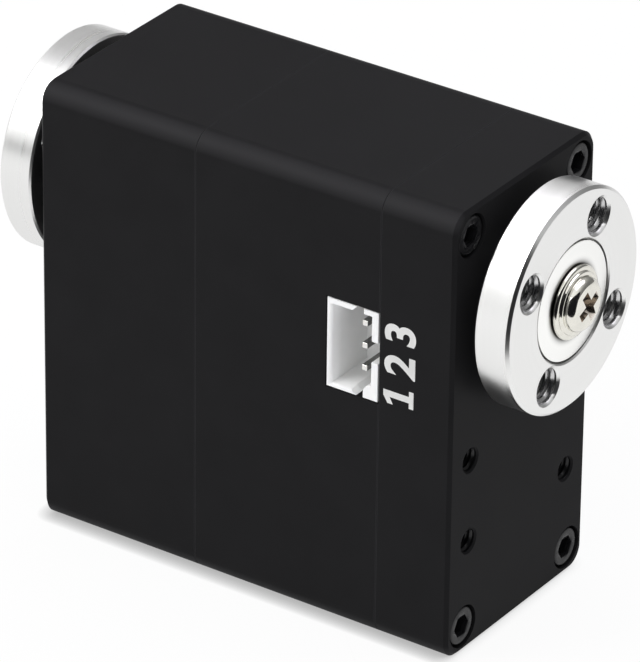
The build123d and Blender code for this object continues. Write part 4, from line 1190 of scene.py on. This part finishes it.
class SERVO_OT_pins(bpy.types.Operator):
    """Round the edges of the sockets' pins"""
    bl_idname = "servo.pins"
    bl_label = "Pins"

    def execute(self, context):
        for side in ("left", "right"):
            piece = frame["nodes"][side + "_contacts"]
            modify(piece, "joined", "WELD", merge_threshold=0.0005 * MM)
            modify(piece, "flat_faces", "DECIMATE", decimate_type="DISSOLVE", angle_limit=radians(1))
            modify(piece, "rounded", "BEVEL", width=context.scene.servo_socket.pin_edge, segments=2,
                   limit_method="ANGLE", harden_normals=True)
        return {"FINISHED"}


class SERVO_OT_studio(bpy.types.Operator):
    """Make the floor, the lights and the camera"""
    bl_idname = "servo.studio"
    bl_label = "Studio"

    def execute(self, context):
        look = context.scene.servo_studio
        make_world(look)
        make_floor(look)
        make_cards(look)
        make_lights()
        make_camera(context, look)
        return {"FINISHED"}


# Studio


def path_factor(nodes, *kinds):
    """1 for rays of any of the kinds, such as Is Camera Ray."""
    ray = nodes.node("LightPath").outputs
    factor = ray[kinds[0]]
    for kind in kinds[1:]:
        factor = nodes.math("MAXIMUM", factor, ray[kind])
    return factor


def soft_side(nodes, vector, bright_side, low, high, reach):
    """A strength that grows smoothly towards the bright side of the studio, for mirror rays.
    Camera and glass rays get 1."""
    lean = nodes.node("VectorMath", vector, bright_side, operation="DOT_PRODUCT").outputs["Value"]
    grow = nodes.spread(lean, low, high, -reach, reach, interpolation_type="SMOOTHSTEP")
    return nodes.blend("FLOAT", path_factor(nodes, "Is Glossy Ray"), 1.0, grow)


def white_where_seen(nodes, kind, light, seen, shown=1.0):
    """The seen shader for camera, mirror and glass rays, and the light shader for the others.
    Shown is the share of the seen shader for those rays."""
    factor = path_factor(nodes, "Is Camera Ray", "Is Glossy Ray", "Is Transmission Ray")
    factor = nodes.math("MULTIPLY", factor, shown)
    both = nodes.node("MixShader", factor, light.outputs[0], seen.outputs[0])
    nodes.node(kind, Surface=both.outputs[0])


def make_world(look):
    """A white background, and a soft grey surround that lights the part."""
    world = bpy.data.worlds.new("Studio")
    bpy.context.scene.world = world
    world.use_nodes = True
    nodes = Nodes(world.node_tree)
    nodes.tree.nodes.clear()
    heading = nodes.node("TexCoord").outputs["Generated"]
    strength = soft_side(nodes, heading, ROOM_SIDE, ROOM_LOW, ROOM_HIGH, ROOM_REACH)
    white = nodes.node("Background", Color=(1, 1, 1, 1), Strength=strength)
    soft = nodes.node("Background", Color=(0.97, 0.98, 1, 1), Strength=look.ambient)
    white_where_seen(nodes, "OutputWorld", soft, white)


def contact_shadow(nodes, look):
    """White that darkens where the part stands on the floor, more on one side."""
    lean = nodes.node("CombineXYZ", *Vector(look.contact_side).normalized()).outputs[0]
    hidden = nodes.node("AmbientOcclusion", samples=16, Distance=look.contact_reach, Normal=lean)
    return nodes.spread(hidden.outputs["AO"], CONTACT_TONE, 1, CONTACT_OPEN, 1)


def make_floor(look):
    """A wide pale floor that shows white and keeps the part's shadow."""
    bm = bmesh.new()
    bmesh.ops.create_grid(bm, x_segments=1, y_segments=1, size=FLOOR_HALF)
    material = bpy.data.materials.new("pale_floor")
    material.use_nodes = True
    nodes = Nodes(material.node_tree)
    nodes.tree.nodes.clear()
    strength = soft_side(nodes, nodes.place(), FLOOR_SIDE, FLOOR_LOW, FLOOR_HIGH, FLOOR_REACH)
    glow = nodes.node("Emission", Color=contact_shadow(nodes, look), Strength=strength)
    paper = nodes.node("BsdfDiffuse", Color=(*look.floor, 1))
    white_where_seen(nodes, "OutputMaterial", paper, glow, look.floor_glow)
    finish_mesh("floor", bm, material)


def turn_to(piece, facing, axis):
    """Turns an object so that one of its axes points along a direction."""
    piece.rotation_mode = "QUATERNION"
    piece.rotation_quaternion = facing.to_track_quat(axis, "Y")


def mirror_card(name, material, centre, facing, width, height):
    """A card that only mirror rays meet, so that it shows in bright metal and nowhere else."""
    bm = bmesh.new()
    bmesh.ops.create_grid(bm, x_segments=1, y_segments=1, size=0.5)
    card = finish_mesh(name, bm, material)
    card.scale = (width, height, 1)
    card.location = centre
    turn_to(card, facing, "Z")
    for ray in ("camera", "diffuse", "shadow", "transmission"):
        setattr(card, "visible_" + ray, False)


def card_finish(name, base):
    """Matt card without gloss."""
    finish = Finish(name, base, roughness=1.0)
    finish.set(Specular_IOR_Level=0.0)
    spots = finish.noise(finish.coordinates(), 1 / CARD_SPOTS)
    finish.vary_colour(spots, scaled(base, 0.85), scaled(base, 1.3))
    return finish.material


def make_cards(look):
    """A dark card on the camera's side of the driven horn, and a dark bar and a grey sheet behind the rear
    horn."""
    dark = card_finish("dark_card", (0.012, 0.012, 0.013))
    grey = card_finish("grey_card", (0.55, 0.55, 0.53))
    foot = Vector((0, horn_low.y, look.card_height / 2))
    rear = Vector((OUTPUT_AXIS.x, (rear_horn_low.y + rear_horn_high.y) / 2, OUTPUT_AXIS.z))
    side = rear - Vector((HORN_RADIUS, 0, 0))
    top = rear + Vector((0, 0, HORN_RADIUS))
    front_heading = Vector((-sin(look.card_azimuth), -cos(look.card_azimuth), 0))
    bar_heading = Vector(look.bar_heading).normalized()
    sheet_heading = Vector(look.sheet_heading).normalized()
    mirror_card("dark_card", dark, foot + front_heading * look.card_distance, front_heading,
                look.card_width, look.card_height)
    mirror_card("dark_bar", dark, side + bar_heading * look.bar_distance, bar_heading,
                look.bar_width, look.bar_height)
    mirror_card("grey_sheet", grey, top + sheet_heading * look.sheet_distance, sheet_heading,
                look.sheet_size, look.sheet_size)


def make_lights():
    """The soft boxes, facing the middle of the part."""
    aim = (0, 0, 20 * MM)
    for name, spot, size, power, tint in LAMPS:
        light = bpy.data.lights.new(name, "AREA")
        light.size = size
        light.energy = power
        light.color = tint
        lamp = new_object(name, light)
        lamp.location = spot
        turn_to(lamp, Vector(aim) - Vector(spot), "-Z")


def make_camera(context, look):
    """The camera, placed by its aim, distance and angles."""
    camera = bpy.data.cameras.new("camera")
    camera.sensor_width = 36
    camera.lens = look.focal_length
    camera.shift_x, camera.shift_y = look.shift
    camera.clip_start = 0.01
    camera.clip_end = 20
    turn = (Matrix.Rotation(-look.azimuth, 4, "Z") @ Matrix.Rotation(pi / 2 - look.elevation, 4, "X")
            @ Matrix.Rotation(look.roll, 4, "Z"))
    back = turn.to_3x3() @ Vector((0, 0, 1))
    holder = new_object("camera", camera)
    holder.matrix_world = Matrix.Translation(Vector(look.aim) + back * look.distance) @ turn
    context.scene.camera = holder
    context.scene.view_settings.view_transform = "Standard"


class SERVO_PT_panel(bpy.types.Panel):
    """Sizes, colours and steps of the servo"""
    bl_label = "Servo"
    bl_idname = "SERVO_PT_panel"
    bl_space_type = "VIEW_3D"
    bl_region_type = "UI"
    bl_category = "Servo"

    def draw(self, context):
        for group in GROUPS:
            self.layout.label(text=group)
            for prop in getattr(context.scene, group).bl_rna.properties:
                if prop.identifier not in ("rna_type", "name"):
                    self.layout.prop(getattr(context.scene, group), prop.identifier)
        for operator in OPERATORS:
            self.layout.operator(operator.bl_idname)


GROUPS = {
    "servo_anodise": AnodiseSettings,
    "servo_horn": HornSettings,
    "servo_thread": ThreadSettings,
    "servo_screw": ScrewSettings,
    "servo_socket": SocketSettings,
    "servo_print": PrintSettings,
    "servo_studio": StudioSettings,
}
OPERATORS = [
    SERVO_OT_studio, SERVO_OT_finishes, SERVO_OT_pins, SERVO_OT_mount_threads, SERVO_OT_horns,
    SERVO_OT_washers, SERVO_OT_centre_screws, SERVO_OT_case_screws, SERVO_OT_sockets, SERVO_OT_numbers,
]


def register():
    for group in GROUPS.values():
        bpy.utils.register_class(group)
    for operator in OPERATORS:
        bpy.utils.register_class(operator)
    bpy.utils.register_class(SERVO_PT_panel)
    for name, group in GROUPS.items():
        setattr(bpy.types.Scene, name, PointerProperty(type=group))


def unregister():
    for name in GROUPS:
        delattr(bpy.types.Scene, name)
    bpy.utils.unregister_class(SERVO_PT_panel)
    for operator in reversed(OPERATORS):
        bpy.utils.unregister_class(operator)
    for group in reversed(list(GROUPS.values())):
        bpy.utils.unregister_class(group)


def main():
    register()
    bpy.ops.servo.studio()
    bpy.ops.servo.finishes()
    bpy.ops.servo.pins()
    bpy.ops.servo.mount_threads()
    bpy.ops.servo.horns()
    bpy.ops.servo.washers()
    bpy.ops.servo.centre_screws()
    bpy.ops.servo.case_screws()
    bpy.ops.servo.sockets()
    bpy.ops.servo.numbers()
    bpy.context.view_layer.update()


if __name__ == "__main__":
    main()
